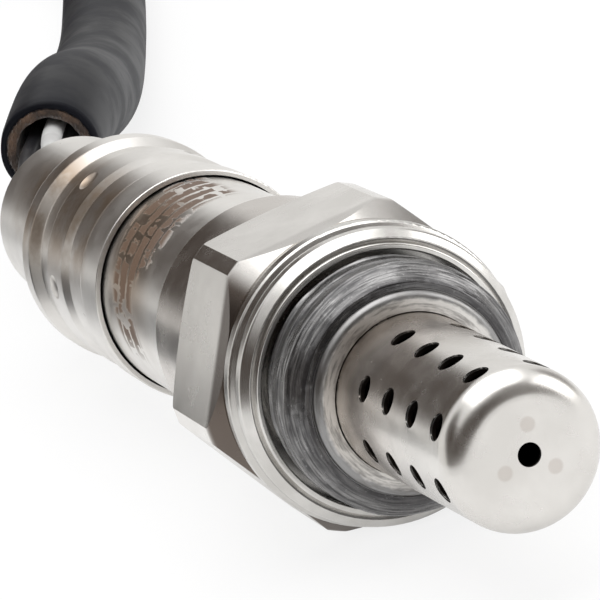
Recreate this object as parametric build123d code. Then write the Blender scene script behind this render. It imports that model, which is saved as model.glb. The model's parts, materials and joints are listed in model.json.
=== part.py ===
from build123d import *
import math
import os

# Oxygen sensor with a free four-wire lead. Millimetres, +X along the axis towards the sensing tip,
# +Z up, origin on the axis at the sealing face of the gasket. The sensor lies on its gasket's rim.

# ---- driving dimensions -------------------------------------------------------------------------
CLEARANCE = 0.05            # gap between pieces that are pressed, crimped or packed together
WIRE_FIT = 0.02             # gap round a wire in rubber or in its terminal, and round the lining
OVERCUT = 1.0               # how far a drill or a cut runs past the face it leaves by

# protection tubes
TUBE_RADIUS = 5.9
TUBE_TAPER = 0.22           # how much smaller the outer tube's radius is at its tip
TUBE_WALL = 0.45
TUBE_TIP_X = 27.8
TUBE_TIP_ROUND = 2.0
TUBE_FLANGE_WIDTH = 0.85
INNER_TUBE_GAP = 0.55
INNER_TUBE_WALL = 0.4
INNER_TUBE_ROUND = 1.5
TIP_HOLE_RADIUS = 0.84
INNER_TIP_HOLE_RADIUS = 1.24
SIDE_HOLE_RADIUS = 0.95
SIDE_HOLE_COLUMNS = 8
SIDE_HOLE_ROWS = 4
SIDE_HOLE_FIRST_X = 10.85
SIDE_HOLE_TIP_GAP = 3.0     # from the last row of holes to the tip
SIDE_HOLE_ANGLE = 51.7      # first column, measured from +Y towards +Z
INNER_HOLE_RADIUS = 0.7
INNER_HOLE_ROWS = 2

# threaded body
THREAD_RADIUS = 9.0         # M18 x 1.5, major radius
THREAD_BACK_X = 0.0         # at the gasket's sealing face, in front of the relief
THREAD_LENGTH = 3.9
THREAD_CHAMFER = 1.1
THREAD_RUNOUT = 0.5
RELIEF_DEPTH = 0.9          # undercut that holds the captive gasket
HEX_ACROSS_FLATS = 22.0
HEX_CORNER_LOSS = 0.35      # what turning takes off the corners
HEX_FACE_LAND = 1.2         # from the hexagon's front face to its turned corners
HEX_LENGTH = 11.2
HEX_FRONT_CHAMFER = 2.0
HEX_BACK_CHAMFER = 0.7
COLLAR_LENGTH = 10.0
COLLAR_WALL = 0.6           # outside the casing's foot
REAR_RIM = 0.7              # rolled in behind the casing's foot
CRIMP_LIP_LENGTH = 0.7      # front lip, rolled in over the tubes' flanges
CRIMP_LIP_WIDTH = 0.65
PACK_BORE_RADIUS = 7.2      # bore that holds the element, powder and bush
FRONT_BORE_GAP = 0.5        # front bore, outside the inner tube
FRONT_BORE_CHAMFER = 0.4
SEAT_FROM_HEX_BACK = 5.2    # ledge that the element's flange bears on
SEAT_LEDGE = 1.8
SEAT_CONE_LENGTH = 1.2

# folded gasket
GASKET_DEPTH = 4.0
GASKET_GAP = 0.45           # between the thread and the gasket
GASKET_WIDTH = 1.8
GASKET_TAB_REACH = 0.4      # tab's inner edge, outside the relief
GASKET_SHEET = 0.5

# sensing element, heater and packing
ELEMENT_TIP_GAP = 5.8       # from the element's tip to the outer tube's
ELEMENT_BORE_RADIUS = 1.6
ELEMENT_WALL = 0.8
ELEMENT_ROOT_RADIUS = 3.3
ELEMENT_FLANGE_GAP = 0.4
ELEMENT_FLANGE_LENGTH = 3.8
ELEMENT_BACK_RADIUS = 4.3
ELEMENT_PROUD = 6.8         # behind the collar
CONTACT_BORE_RADIUS = 2.5
CONTACT_BORE_DEPTH = 8.0
HEATER_GAP = 0.2
HEATER_TIP_GAP = 0.6
SEAT_WASHER_THICKNESS = 0.4
BUSH_LENGTH = 4.6
COMPRESSION_RING_LENGTH = 0.75

# casing
BARREL_LENGTH = 18.0        # in view between the collar and the outer sleeve
CASING_RADIUS = 8.8
CASING_WALL = 0.45
CASING_FOOT_WIDTH = 0.45
CASING_FOOT_THICKNESS = 0.6
CASING_FOOT_LEDGE = 1.0     # foot's bore, inside the packing bore
CASING_BACK_GAP = 0.5       # from the casing's rear end to the end of the sleeve's band

# outer sleeve: a sheet of even wall. Radii are steps outside the casing, lengths run rearwards.
SLEEVE_WALL = 0.45
LIP_STEP = 0.6
LIP_BORE_STEP = 0.18
LIP_FUNNEL = 0.6
LIP_LENGTH = 4.2
LIP_SLOPE = 1.4
WAIST_STEP = 0.25
WAIST_LENGTH = 3.4
BAND_STEP = 0.5
BAND_SLOPE = 1.6
BAND_LENGTH = 4.2
GROOVE_STEP = 0.15
GROOVE_SLOPE = 1.2
GROOVE_LENGTH = 2.0
BEAD_STEP = 0.8
BEAD_SLOPE = 1.6
BEAD_LENGTH = 2.4
SHOULDER_LENGTH = 2.2
NECK_RADIUS = 7.35
NECK_LENGTH = 13.5
DENT_COUNT = 15             # crimped ring of dents that grips the grommet
DENT_FROM_SHOULDER = 3.4
DENT_ROLLER_RADIUS = 5.0
DENT_DEPTH = 0.13
DENT_ANGLE = 106.0
DIMPLE_COUNT = 6            # staking marks that hold the sleeve on the casing
DIMPLE_FROM_BAND = 2.7      # behind the front edge of the band
DIMPLE_ANGLE = 49.4
DIMPLE_BALL_RADIUS = 2.2
DIMPLE_DEPTH = 0.3

# insulator, contacts, grommet and wires
INSULATOR_FROM_LIP = 0.8
INSULATOR_LENGTH = 16.0
INSULATOR_BORE_RADIUS = 0.6
HEATER_FROM_INSULATOR = 2.0
SPRING_SHEET = 0.3
SPRING_LENGTH = 6.0
SPRING_SLIT = 2.0
CONTACT_SHEET = 0.35
CONTACT_RIM_LENGTH = 1.0
CONTACT_RIM_PROUD = 0.15    # rim beyond the lead that starts on it
CONTACT_CLIP_LENGTH = 5.0
CONTACT_CLIP_SLIT = 1.5
CONTACT_ARM_LENGTH = 4.0
HEATER_PAD_LENGTH = 3.0
GROMMET_PROUD = 1.1
GROMMET_EDGE = 0.5
GROMMET_TAPER = 1.6
VENT_RADIUS = 0.75
VENT_INSET = 0.6
WIRE_RADIUS = 0.95
WIRE_INSET = 8.0            # wire's end, behind the insulator's front
FERRULE_WALL = 0.28
FERRULE_LENGTH = 8.0
FERRULE_NOSE = 2.0          # in front of the wire's end
FERRULE_GAP = 0.1
EXIT_SPREAD = 2.7           # radius of the wires' circle in the grommet
BUNDLE_GAP = 0.15           # between neighbouring wires in the wire sleeve
EXIT_ANGLE = 60.0           # first wire, from the side direction towards up
PLUG_ANGLE = 45.0           # and at the connector

# wire sleeve, a smooth tube with a woven lining
COVER_RADIUS = 4.7
COVER_WALL = 0.65
LINING_WALL = 0.75

# connector
PLUG_LENGTH = 34.0
PLUG_WIDTH = 19.0
PLUG_HEIGHT = 16.0
PLUG_WALL = 1.6
PLUG_EDGE = 2.2
HOOD_DEPTH = 18.0
HOOD_EDGE = 1.2
PIN_RADIUS = 0.8
PIN_REACH = 11.0
PIN_POINT = 0.35
SHANK_STEP = 0.25
SHANK_INSET = 1.0           # shank's front, behind the hood's floor
PASSAGE_STEP = 0.3
SEAL_DEPTH = 5.0
POCKET_DEPTH = 6.0
SEAL_INSET = 0.5
SEAL_SEAT_GAP = 0.2
LOCK_THICKNESS = 3.0
LOCK_GAP = 2.2
LOCK_EDGE = 0.8
LOCK_PIN_FIT = 0.06
RIB_WIDTH = 0.8             # each key rib, beyond the housing's side
RIB_LENGTH = 18.0
RIB_HEIGHT = 3.0
RIB_FROM_BACK = 12.0
RAMP_SIZE = (5.0, 4.0, 1.2)  # latch ramp: width, length and height above the hood
RAMP_FROM_MOUTH = 8.0

# ---- sizes and places that follow ---------------------------------------------------------------
THREAD_FRONT_X = THREAD_BACK_X + THREAD_LENGTH
LIP_BASE_X = THREAD_FRONT_X + THREAD_CHAMFER
TUBE_FLANGE_X = LIP_BASE_X - 2 * CLEARANCE - 2 * TUBE_WALL
TUBE_FLANGE_RADIUS = TUBE_RADIUS + TUBE_FLANGE_WIDTH
INNER_TUBE_RADIUS = TUBE_RADIUS - TUBE_WALL - INNER_TUBE_GAP
SIDE_HOLE_PITCH = (TUBE_TIP_X - SIDE_HOLE_TIP_GAP - SIDE_HOLE_FIRST_X) / (SIDE_HOLE_ROWS - 1)

RELIEF_RADIUS = THREAD_RADIUS - RELIEF_DEPTH
HEX_CORNER_RADIUS = HEX_ACROSS_FLATS / 2 / math.cos(math.radians(30)) - HEX_CORNER_LOSS
HEX_FACE_X = -GASKET_DEPTH
HEX_BACK_X = HEX_FACE_X - HEX_LENGTH
COLLAR_BACK_X = HEX_BACK_X - COLLAR_LENGTH
CASING_FOOT_RADIUS = CASING_RADIUS + CASING_FOOT_WIDTH
COLLAR_RADIUS = CASING_FOOT_RADIUS + CLEARANCE + COLLAR_WALL
CRIMP_LIP_RADIUS = TUBE_FLANGE_RADIUS + CRIMP_LIP_WIDTH
FRONT_BORE_RADIUS = min(INNER_TUBE_RADIUS + FRONT_BORE_GAP, PACK_BORE_RADIUS - SEAT_LEDGE)
SEAT_X = HEX_BACK_X + SEAT_FROM_HEX_BACK
SEAT_SLOPE = (PACK_BORE_RADIUS - FRONT_BORE_RADIUS) / SEAT_CONE_LENGTH

GASKET_INNER_RADIUS = THREAD_RADIUS + GASKET_GAP
GASKET_OUTER_RADIUS = GASKET_INNER_RADIUS + GASKET_WIDTH
GASKET_TAB_RADIUS = RELIEF_RADIUS + GASKET_TAB_REACH

ELEMENT_TIP_X = TUBE_TIP_X - ELEMENT_TIP_GAP
ELEMENT_TIP_RADIUS = ELEMENT_BORE_RADIUS + ELEMENT_WALL
ELEMENT_FLANGE_RADIUS = PACK_BORE_RADIUS - ELEMENT_FLANGE_GAP
ELEMENT_BACK_X = COLLAR_BACK_X - ELEMENT_PROUD
FLANGE_FRONT_X = SEAT_X - SEAT_WASHER_THICKNESS - 2 * CLEARANCE
FLANGE_BACK_X = FLANGE_FRONT_X - ELEMENT_FLANGE_LENGTH
CASING_FRONT_X = COLLAR_BACK_X + REAR_RIM + CLEARANCE + CASING_FOOT_THICKNESS
RING_BACK_X = CASING_FRONT_X + CLEARANCE
BUSH_BACK_X = RING_BACK_X + COMPRESSION_RING_LENGTH + CLEARANCE
TALC_BACK_X = BUSH_BACK_X + BUSH_LENGTH + CLEARANCE

SLEEVE_LIP_X = COLLAR_BACK_X - BARREL_LENGTH
SLOPE_X = SLEEVE_LIP_X - LIP_LENGTH
WAIST_X = SLOPE_X - LIP_SLOPE
BAND_X = WAIST_X - WAIST_LENGTH - BAND_SLOPE
GROOVE_X = BAND_X - BAND_LENGTH - GROOVE_SLOPE
BEAD_X = GROOVE_X - GROOVE_LENGTH - BEAD_SLOPE
SHOULDER_X = BEAD_X - BEAD_LENGTH
NECK_X = SHOULDER_X - SHOULDER_LENGTH
NECK_BACK_X = NECK_X - NECK_LENGTH
CASING_NECK_RADIUS = CASING_RADIUS + WAIST_STEP - SLEEVE_WALL - CLEARANCE
CASING_BACK_X = BAND_X - BAND_LENGTH + CASING_BACK_GAP

INSULATOR_FRONT_X = SLEEVE_LIP_X - INSULATOR_FROM_LIP
INSULATOR_BACK_X = INSULATOR_FRONT_X - INSULATOR_LENGTH
SPRING_RADIUS = CASING_NECK_RADIUS - CASING_WALL - CLEARANCE
INSULATOR_RADIUS = SPRING_RADIUS - SPRING_SHEET - CLEARANCE
HEATER_RADIUS = ELEMENT_BORE_RADIUS - HEATER_GAP
HEATER_BACK_X = INSULATOR_FRONT_X + HEATER_FROM_INSULATOR
WIRE_START_X = INSULATOR_FRONT_X - WIRE_INSET
FERRULE_FRONT_X = WIRE_START_X + FERRULE_NOSE
FERRULE_RADIUS = WIRE_RADIUS + WIRE_FIT + FERRULE_WALL
LEAD_FRONT_X = FERRULE_FRONT_X + CLEARANCE
GROMMET_FRONT_X = INSULATOR_BACK_X - CLEARANCE
GROMMET_BACK_X = NECK_BACK_X - GROMMET_PROUD
BUNDLE_SPREAD = (WIRE_RADIUS + BUNDLE_GAP / 2) * math.sqrt(2)

FLOOR_Z = -max(GASKET_OUTER_RADIUS, HEX_ACROSS_FLATS / 2)
LEAD_Z = FLOOR_Z + COVER_RADIUS
PLUG_Z = FLOOR_Z + PLUG_HEIGHT / 2

# ---- route of the lead --------------------------------------------------------------------------
# Centre line from the grommet to the connector. The lead turns back in one wide bend and ends
# beside the sensor.
BEND_CENTRE = (-232.0, -5.5)
BEND_RADIUS = 50.0
BEND_STEP = 30.0
BEND_FIRST_ANGLE = 90.0
BEND_CORNERS = 7
PLUG_BACK_X = -120.0
PLUG_Y = -41.5
PLUG_MOUTH_X = PLUG_BACK_X + PLUG_LENGTH
HOOD_FLOOR_X = PLUG_MOUTH_X - HOOD_DEPTH

ROUTE_TO_BEND = [
    (-96.0, 0.0, 0.0),
    (-119.0, 10.9, 1.5),
    (-144.0, 18.7, -4.6),
    (-170.0, 27.3, LEAD_Z),
    (-196.0, 35.5, LEAD_Z),
]
ROUTE_TO_PLUG = [
    (-199.0, -48.5, LEAD_Z),
    (-167.0, -43.0, LEAD_Z),
    (-141.0, PLUG_Y, PLUG_Z),
]
COVER_START_SHARE = 0.47   # where the cover begins, along the first run after the grommet
ARC_SHARE = 0.45           # of the shorter run beside a corner, taken up by its arc


def bend_points():
    """Corners of the polygon whose sides touch the bend, in the order that the lead passes them."""
    corner_radius = BEND_RADIUS / math.cos(math.radians(BEND_STEP / 2))
    points = []
    for step in range(BEND_CORNERS):
        angle = math.radians(BEND_FIRST_ANGLE + BEND_STEP * step)
        x = BEND_CENTRE[0] + corner_radius * math.cos(angle)
        y = BEND_CENTRE[1] + corner_radius * math.sin(angle)
        points.append((x, y, LEAD_Z))
    return points


def lead_route():
    """Every corner of the lead's centre line, from inside the sensor to inside the connector."""
    start = [(WIRE_START_X, 0.0, 0.0)]
    end = [(PLUG_BACK_X + SEAL_DEPTH, PLUG_Y, PLUG_Z)]
    return start + ROUTE_TO_BEND + bend_points() + ROUTE_TO_PLUG + end


# ---- helpers ------------------------------------------------------------------------------------
def turned(outline):
    """A solid of revolution about X. Each corner of outline is (x, radius) or (x, radius, fillet)."""
    face = make_face(Polyline(*[corner[:2] for corner in outline], close=True))
    for x, radius, rounding in [corner for corner in outline if len(corner) == 3]:
        place = Vector(x, radius, 0)
        vertex = min(face.vertices(), key=lambda v: (Vector(v) - place).length)
        face = fillet(vertex, rounding)
    return revolve(face, Axis.X, 360)


def parallel(outline, distance):
    """An outline that runs rearwards, moved towards the axis by an even distance."""
    last = len(outline) - 1
    moved = []
    for number, here in enumerate(outline):
        normals = []
        for first in (max(number - 1, 0), min(number, last - 1)):
            step = (Vector(*outline[first + 1]) - Vector(*outline[first])).normalized()
            normals.append(Vector(-step.Y, step.X))
        mitre = (normals[0] + normals[1]) * (distance / (1 + normals[0].dot(normals[1])))
        moved.append((here[0] + mitre.X, here[1] + mitre.Y))
    return moved


def ring(back_x, front_x, inner, outer):
    """A plain ring about the axis."""
    return turned([(back_x, inner), (front_x, inner), (front_x, outer), (back_x, outer)])


def eased_ring(back_x, front_x, inner, outer, edge):
    """A ring whose outer edges are rounded."""
    return turned([(back_x, inner), (front_x, inner), (front_x, outer, edge), (back_x, outer, edge)])


def rod(place, radius, length):
    """A round bar that starts at a place and runs along its normal."""
    return place * Cylinder(radius, length, align=(Align.CENTER, Align.CENTER, Align.MIN))


def bar(radius, x_back, x_front, y=0.0, z=0.0):
    """A round bar along X."""
    return rod(Plane(origin=(x_back, y, z), z_dir=(1, 0, 0)), radius, x_front - x_back)


def around(radius, angle):
    """Y and Z of a point at an angle from +Y towards +Z."""
    return radius * math.cos(math.radians(angle)), radius * math.sin(math.radians(angle))


def spoke(radius, x, angle, start, end):
    """A round bar that points outwards from the axis, between two radii."""
    y, z = around(1.0, angle)
    return rod(Plane(origin=(x, start * y, start * z), z_dir=(0, y, z)), radius, end - start)


def wire_places(spread, angle):
    """Y and Z of the four wires round a centre."""
    return [around(spread, angle + 90.0 * k) for k in range(4)]


# ---- threaded body and gasket -------------------------------------------------------------------
def make_hex_shell():
    """Threaded body with its hexagon, gasket relief, collar and both rolled rims."""
    lip_bore = TUBE_RADIUS + CLEARANCE
    lip_x = LIP_BASE_X + CRIMP_LIP_LENGTH
    pocket = TUBE_FLANGE_RADIUS + CLEARANCE
    pocket_top = TUBE_FLANGE_X + TUBE_WALL + CLEARANCE
    pocket_floor = TUBE_FLANGE_X - INNER_TUBE_WALL - 2 * CLEARANCE
    rim_x = COLLAR_BACK_X + REAR_RIM
    rim_bore = CASING_RADIUS + CLEARANCE
    foot_floor = CASING_FRONT_X + CLEARANCE
    foot_bore = CASING_FOOT_RADIUS + CLEARANCE
    body = turned([
        (lip_x, lip_bore),
        (lip_x, CRIMP_LIP_RADIUS, 0.6),
        (LIP_BASE_X, CRIMP_LIP_RADIUS),
        (LIP_BASE_X, THREAD_RADIUS - THREAD_CHAMFER),
        (THREAD_FRONT_X, THREAD_RADIUS),
        (THREAD_BACK_X, THREAD_RADIUS),
        (THREAD_BACK_X - THREAD_RUNOUT, RELIEF_RADIUS),
        (HEX_FACE_X, RELIEF_RADIUS),
        (HEX_FACE_X, HEX_CORNER_RADIUS - HEX_FACE_LAND),
        (HEX_FACE_X - HEX_FRONT_CHAMFER, HEX_CORNER_RADIUS, 0.9),
        (HEX_BACK_X + HEX_BACK_CHAMFER, HEX_CORNER_RADIUS, 0.4),
        (HEX_BACK_X, HEX_CORNER_RADIUS - 2 * HEX_BACK_CHAMFER),
        (HEX_BACK_X, COLLAR_RADIUS, 0.5),
        (COLLAR_BACK_X, COLLAR_RADIUS, 0.5),
        (COLLAR_BACK_X, rim_bore),
        (rim_x, rim_bore),
        (rim_x, foot_bore),
        (foot_floor, foot_bore),
        (foot_floor, PACK_BORE_RADIUS),
        (SEAT_X - SEAT_CONE_LENGTH, PACK_BORE_RADIUS),
        (SEAT_X, FRONT_BORE_RADIUS),
        (pocket_floor - FRONT_BORE_CHAMFER, FRONT_BORE_RADIUS),
        (pocket_floor, FRONT_BORE_RADIUS + FRONT_BORE_CHAMFER),
        (pocket_floor, pocket),
        (pocket_top, pocket),
        (pocket_top, lip_bore),
    ])
    hexagon = Plane(origin=(HEX_BACK_X, 0, 0), x_dir=(0, 1, 0), z_dir=(1, 0, 0)) * RegularPolygon(
        HEX_ACROSS_FLATS / 2, 6, major_radius=False, rotation=0
    )
    blank = bar(HEX_CORNER_RADIUS + OVERCUT, HEX_BACK_X, HEX_FACE_X)
    return body - (blank - extrude(hexagon, amount=HEX_LENGTH))


def make_gasket_ring():
    """Captive gasket: a folded sheet with a bead, a crest and a rear roll, and a tab in the relief."""
    inner = GASKET_INNER_RADIUS
    outer = GASKET_OUTER_RADIUS
    back_x = HEX_FACE_X + CLEARANCE
    tab_x = back_x + GASKET_SHEET
    crest = outer - 0.3
    valley = outer - 0.62
    bead_width = 0.42
    return turned([
        (0.0, inner, 0.12),
        (0.0, inner + bead_width, 0.16),
        (-0.3, inner + 0.58),
        (-0.18, inner + 0.85, 0.1),
        (-0.75, crest - 0.03, 0.38),
        (-1.6, crest, 0.22),
        (-2.0, valley, 0.16),
        (-2.3, outer, 0.3),
        (-3.4, outer, 0.45),
        (back_x, outer - 0.55, 0.2),
        (back_x, GASKET_TAB_RADIUS),
        (tab_x, GASKET_TAB_RADIUS),
        (tab_x, outer - 2 * GASKET_SHEET, 0.3),
        (-2.7, outer - GASKET_SHEET - 0.1),
        (-2.0, valley - GASKET_SHEET, 0.2),
        (-1.1, crest - GASKET_SHEET),
        (-0.75, inner + 0.75),
        (-0.75, inner),
    ])


# ---- protection tubes ---------------------------------------------------------------------------
def tube_shell(radius, taper, wall, tip_x, tip_round, flange_x):
    """A drawn cap with a closed, rounded end and a base flange."""
    tip_radius = radius - taper
    return turned([
        (flange_x, radius - wall),
        (tip_x - wall, tip_radius - wall, tip_round - wall),
        (tip_x - wall, 0.0),
        (tip_x, 0.0),
        (tip_x, tip_radius, tip_round),
        (flange_x + wall, radius),
        (flange_x + wall, TUBE_FLANGE_RADIUS),
        (flange_x, TUBE_FLANGE_RADIUS),
    ])


def gas_holes(radius, tube_radius, wall, stations, first_angle):
    """Drills for the columns of gas holes in one wall of a tube."""
    drills = []
    for column in range(SIDE_HOLE_COLUMNS):
        angle = first_angle + column * 360.0 / SIDE_HOLE_COLUMNS
        for x in stations:
            drills.append(spoke(radius, x, angle, tube_radius - 2 * wall, tube_radius + OVERCUT))
    return drills


def make_outer_protection_tube():
    """Outer cap with columns of round gas holes and one hole in the tip."""
    tube = tube_shell(TUBE_RADIUS, TUBE_TAPER, TUBE_WALL, TUBE_TIP_X, TUBE_TIP_ROUND, TUBE_FLANGE_X)
    stations = [SIDE_HOLE_FIRST_X + row * SIDE_HOLE_PITCH for row in range(SIDE_HOLE_ROWS)]
    tip_drill = bar(TIP_HOLE_RADIUS, TUBE_TIP_X - 2 * TUBE_WALL, TUBE_TIP_X + OVERCUT)
    return tube - tip_drill - gas_holes(SIDE_HOLE_RADIUS, TUBE_RADIUS, TUBE_WALL, stations, SIDE_HOLE_ANGLE)


def make_inner_protection_tube():
    """Inner cap, its holes turned half a step from the outer ones."""
    tip_x = TUBE_TIP_X - TUBE_WALL - CLEARANCE
    flange_x = TUBE_FLANGE_X - INNER_TUBE_WALL - CLEARANCE
    tube = tube_shell(INNER_TUBE_RADIUS, TUBE_TAPER, INNER_TUBE_WALL, tip_x, INNER_TUBE_ROUND, flange_x)
    tip_drill = bar(INNER_TIP_HOLE_RADIUS, tip_x - 2 * INNER_TUBE_WALL, tip_x + OVERCUT)
    stations = [SIDE_HOLE_FIRST_X + (2 * row + 0.5) * SIDE_HOLE_PITCH for row in range(INNER_HOLE_ROWS)]
    angle = SIDE_HOLE_ANGLE + 180.0 / SIDE_HOLE_COLUMNS
    return tube - tip_drill - gas_holes(
        INNER_HOLE_RADIUS, INNER_TUBE_RADIUS, INNER_TUBE_WALL, stations, angle
    )


# ---- element, heater and packing ----------------------------------------------------------------
def seat_x(radius):
    """Where the ledge's cone has a given radius."""
    return SEAT_X - (radius - FRONT_BORE_RADIUS) / SEAT_SLOPE


def make_seat_washer():
    """Metal washer between the ledge and the element's flange, dished to the ledge's cone."""
    outer = ELEMENT_FLANGE_RADIUS - 0.2
    inner = FRONT_BORE_RADIUS + 0.1
    return turned([
        (seat_x(inner) - CLEARANCE, inner),
        (seat_x(outer) - CLEARANCE, outer),
        (seat_x(outer) - CLEARANCE - SEAT_WASHER_THICKNESS, outer),
        (seat_x(inner) - CLEARANCE - SEAT_WASHER_THICKNESS, inner),
    ])


def make_sensing_element():
    """Closed ceramic thimble with its seating flange."""
    cone_back = seat_x(ELEMENT_FLANGE_RADIUS) - (SEAT_X - FLANGE_FRONT_X)
    contact_x = ELEMENT_BACK_X + CONTACT_BORE_DEPTH
    bore_end = ELEMENT_TIP_X - 1.0
    return turned([
        (ELEMENT_TIP_X, 0.0),
        (ELEMENT_TIP_X, ELEMENT_TIP_RADIUS, 1.8),
        (0.0, ELEMENT_TIP_RADIUS + 0.5),
        (FLANGE_FRONT_X, ELEMENT_ROOT_RADIUS, 0.6),
        (FLANGE_FRONT_X, FRONT_BORE_RADIUS),
        (cone_back, ELEMENT_FLANGE_RADIUS),
        (FLANGE_BACK_X, ELEMENT_FLANGE_RADIUS, 0.5),
        (FLANGE_BACK_X, ELEMENT_BACK_RADIUS),
        (ELEMENT_BACK_X, ELEMENT_BACK_RADIUS, 0.3),
        (ELEMENT_BACK_X, CONTACT_BORE_RADIUS),
        (contact_x, CONTACT_BORE_RADIUS),
        (contact_x + 0.6, ELEMENT_BORE_RADIUS),
        (bore_end, ELEMENT_BORE_RADIUS),
        (bore_end, 0.0),
    ])


def make_heater_rod():
    """Ceramic heater inside the thimble."""
    heater = bar(HEATER_RADIUS, HEATER_BACK_X, ELEMENT_TIP_X - 1.0 - HEATER_TIP_GAP)
    return fillet(heater.edges().filter_by(GeomType.CIRCLE), 0.3)


def make_talc_ring():
    """Sealing powder, which fills the space between the element's flange and the bush."""
    inner = ELEMENT_BACK_RADIUS + CLEARANCE
    return ring(TALC_BACK_X, FLANGE_BACK_X - CLEARANCE, inner, PACK_BORE_RADIUS - CLEARANCE)


def make_ceramic_bush():
    """Insulating bush that presses on the powder."""
    inner = ELEMENT_BACK_RADIUS + CLEARANCE
    return eased_ring(BUSH_BACK_X, BUSH_BACK_X + BUSH_LENGTH, inner, PACK_BORE_RADIUS - CLEARANCE, 0.4)


def make_compression_ring():
    """Metal ring between the bush and the foot of the casing."""
    inner = PACK_BORE_RADIUS - CASING_FOOT_LEDGE - 0.6
    outer = PACK_BORE_RADIUS - CLEARANCE
    return eased_ring(RING_BACK_X, RING_BACK_X + COMPRESSION_RING_LENGTH, inner, outer, 0.2)


# ---- casing and outer sleeve --------------------------------------------------------------------
def make_casing():
    """Inner casing: a foot clamped by the shell's rear rim, a plain barrel and a reduced rear end."""
    foot_bore = PACK_BORE_RADIUS - CASING_FOOT_LEDGE
    foot_back = CASING_FRONT_X - CASING_FOOT_THICKNESS
    barrel_bore = CASING_RADIUS - CASING_WALL
    neck_bore = CASING_NECK_RADIUS - CASING_WALL
    step_x = SLOPE_X + 0.2
    return turned([
        (CASING_FRONT_X, foot_bore),
        (CASING_FRONT_X, CASING_FOOT_RADIUS),
        (foot_back, CASING_FOOT_RADIUS),
        (foot_back, CASING_RADIUS, 0.1),
        (step_x, CASING_RADIUS, 0.5),
        (step_x - LIP_SLOPE, CASING_NECK_RADIUS, 0.5),
        (CASING_BACK_X, CASING_NECK_RADIUS),
        (CASING_BACK_X, neck_bore),
        (step_x - LIP_SLOPE, neck_bore),
        (step_x, barrel_bore),
        (foot_back, barrel_bore),
        (foot_back, foot_bore),
    ])


def sleeve_stations():
    """Outer profile of the sleeve: (x, radius, fillet) from the lip to the neck's rear end."""
    lip = CASING_RADIUS + LIP_STEP
    waist = CASING_RADIUS + WAIST_STEP
    band = CASING_RADIUS + BAND_STEP
    groove = CASING_RADIUS + GROOVE_STEP
    bead = CASING_RADIUS + BEAD_STEP
    return [
        (SLEEVE_LIP_X, lip, 0.12),
        (SLOPE_X, lip, 0.8),
        (WAIST_X, waist, 0.8),
        (WAIST_X - WAIST_LENGTH, waist, 0.8),
        (BAND_X, band, 0.8),
        (BAND_X - BAND_LENGTH, band, 0.6),
        (GROOVE_X, groove, 0.6),
        (GROOVE_X - GROOVE_LENGTH, groove, 0.6),
        (BEAD_X, bead, 0.7),
        (SHOULDER_X, bead, 0.9),
        (NECK_X, NECK_RADIUS, 0.9),
        (NECK_BACK_X, NECK_RADIUS, 0.2),
    ]


def make_outer_sleeve():
    """Outer sleeve: a formed sheet with bands, six staking dimples and a dented neck."""
    outside = sleeve_stations()
    inside = parallel([corner[:2] for corner in outside], SLEEVE_WALL)[:0:-1]
    mouth = [
        (SLEEVE_LIP_X - LIP_FUNNEL, CASING_RADIUS + LIP_STEP - SLEEVE_WALL),
        (SLEEVE_LIP_X, CASING_RADIUS + LIP_BORE_STEP),
    ]
    sleeve = turned(outside + inside + mouth)
    band = CASING_RADIUS + BAND_STEP
    ball_at = band + DIMPLE_BALL_RADIUS - DIMPLE_DEPTH
    bump_radius = DIMPLE_BALL_RADIUS + SLEEVE_WALL - CLEARANCE
    bump_zone = ring(BAND_X - BAND_LENGTH, BAND_X, CASING_NECK_RADIUS, band - SLEEVE_WALL / 2)
    for index in range(DIMPLE_COUNT):
        y, z = around(ball_at, DIMPLE_ANGLE + index * 360.0 / DIMPLE_COUNT)
        place = Pos(BAND_X - DIMPLE_FROM_BAND, y, z)
        sleeve += (place * Sphere(bump_radius)) & bump_zone
        sleeve -= place * Sphere(DIMPLE_BALL_RADIUS)
    return sleeve - neck_dents()


def neck_dents():
    """Lying rollers that press a ring of dents into the neck."""
    rollers = []
    for index in range(DENT_COUNT):
        angle = DENT_ANGLE + index * 360.0 / DENT_COUNT
        y, z = around(NECK_RADIUS + DENT_ROLLER_RADIUS - DENT_DEPTH, angle)
        across_y, across_z = around(1.0, angle + 90.0)
        place = Plane(origin=(NECK_X - DENT_FROM_SHOULDER, y, z), z_dir=(0, across_y, across_z))
        rollers.append(place * Cylinder(DENT_ROLLER_RADIUS, NECK_RADIUS))
    return rollers


# ---- contacts, insulator and grommet ------------------------------------------------------------
def lead_tab(x_front, index):
    """A thin round lead from a contact back to its ferrule."""
    y, z = wire_places(EXIT_SPREAD, EXIT_ANGLE)[index]
    return bar(CONTACT_SHEET, LEAD_FRONT_X, x_front, y, z)


def make_inner_contact():
    """Sprung sheet tube inside the thimble's open end, with a rim that carries its lead."""
    front = ELEMENT_BACK_X + CONTACT_BORE_DEPTH - 1.0
    back = ELEMENT_BACK_X - 3.0
    rim_front = back + CONTACT_RIM_LENGTH
    outer = CONTACT_BORE_RADIUS - CLEARANCE
    inner = outer - CONTACT_SHEET
    rim = EXIT_SPREAD + CONTACT_SHEET + CONTACT_RIM_PROUD
    tube = turned([
        (back, inner),
        (front, inner),
        (front, outer),
        (rim_front, outer),
        (rim_front, rim),
        (back, rim),
    ])
    return tube + lead_tab(back + CONTACT_RIM_LENGTH / 2, 0)


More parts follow.
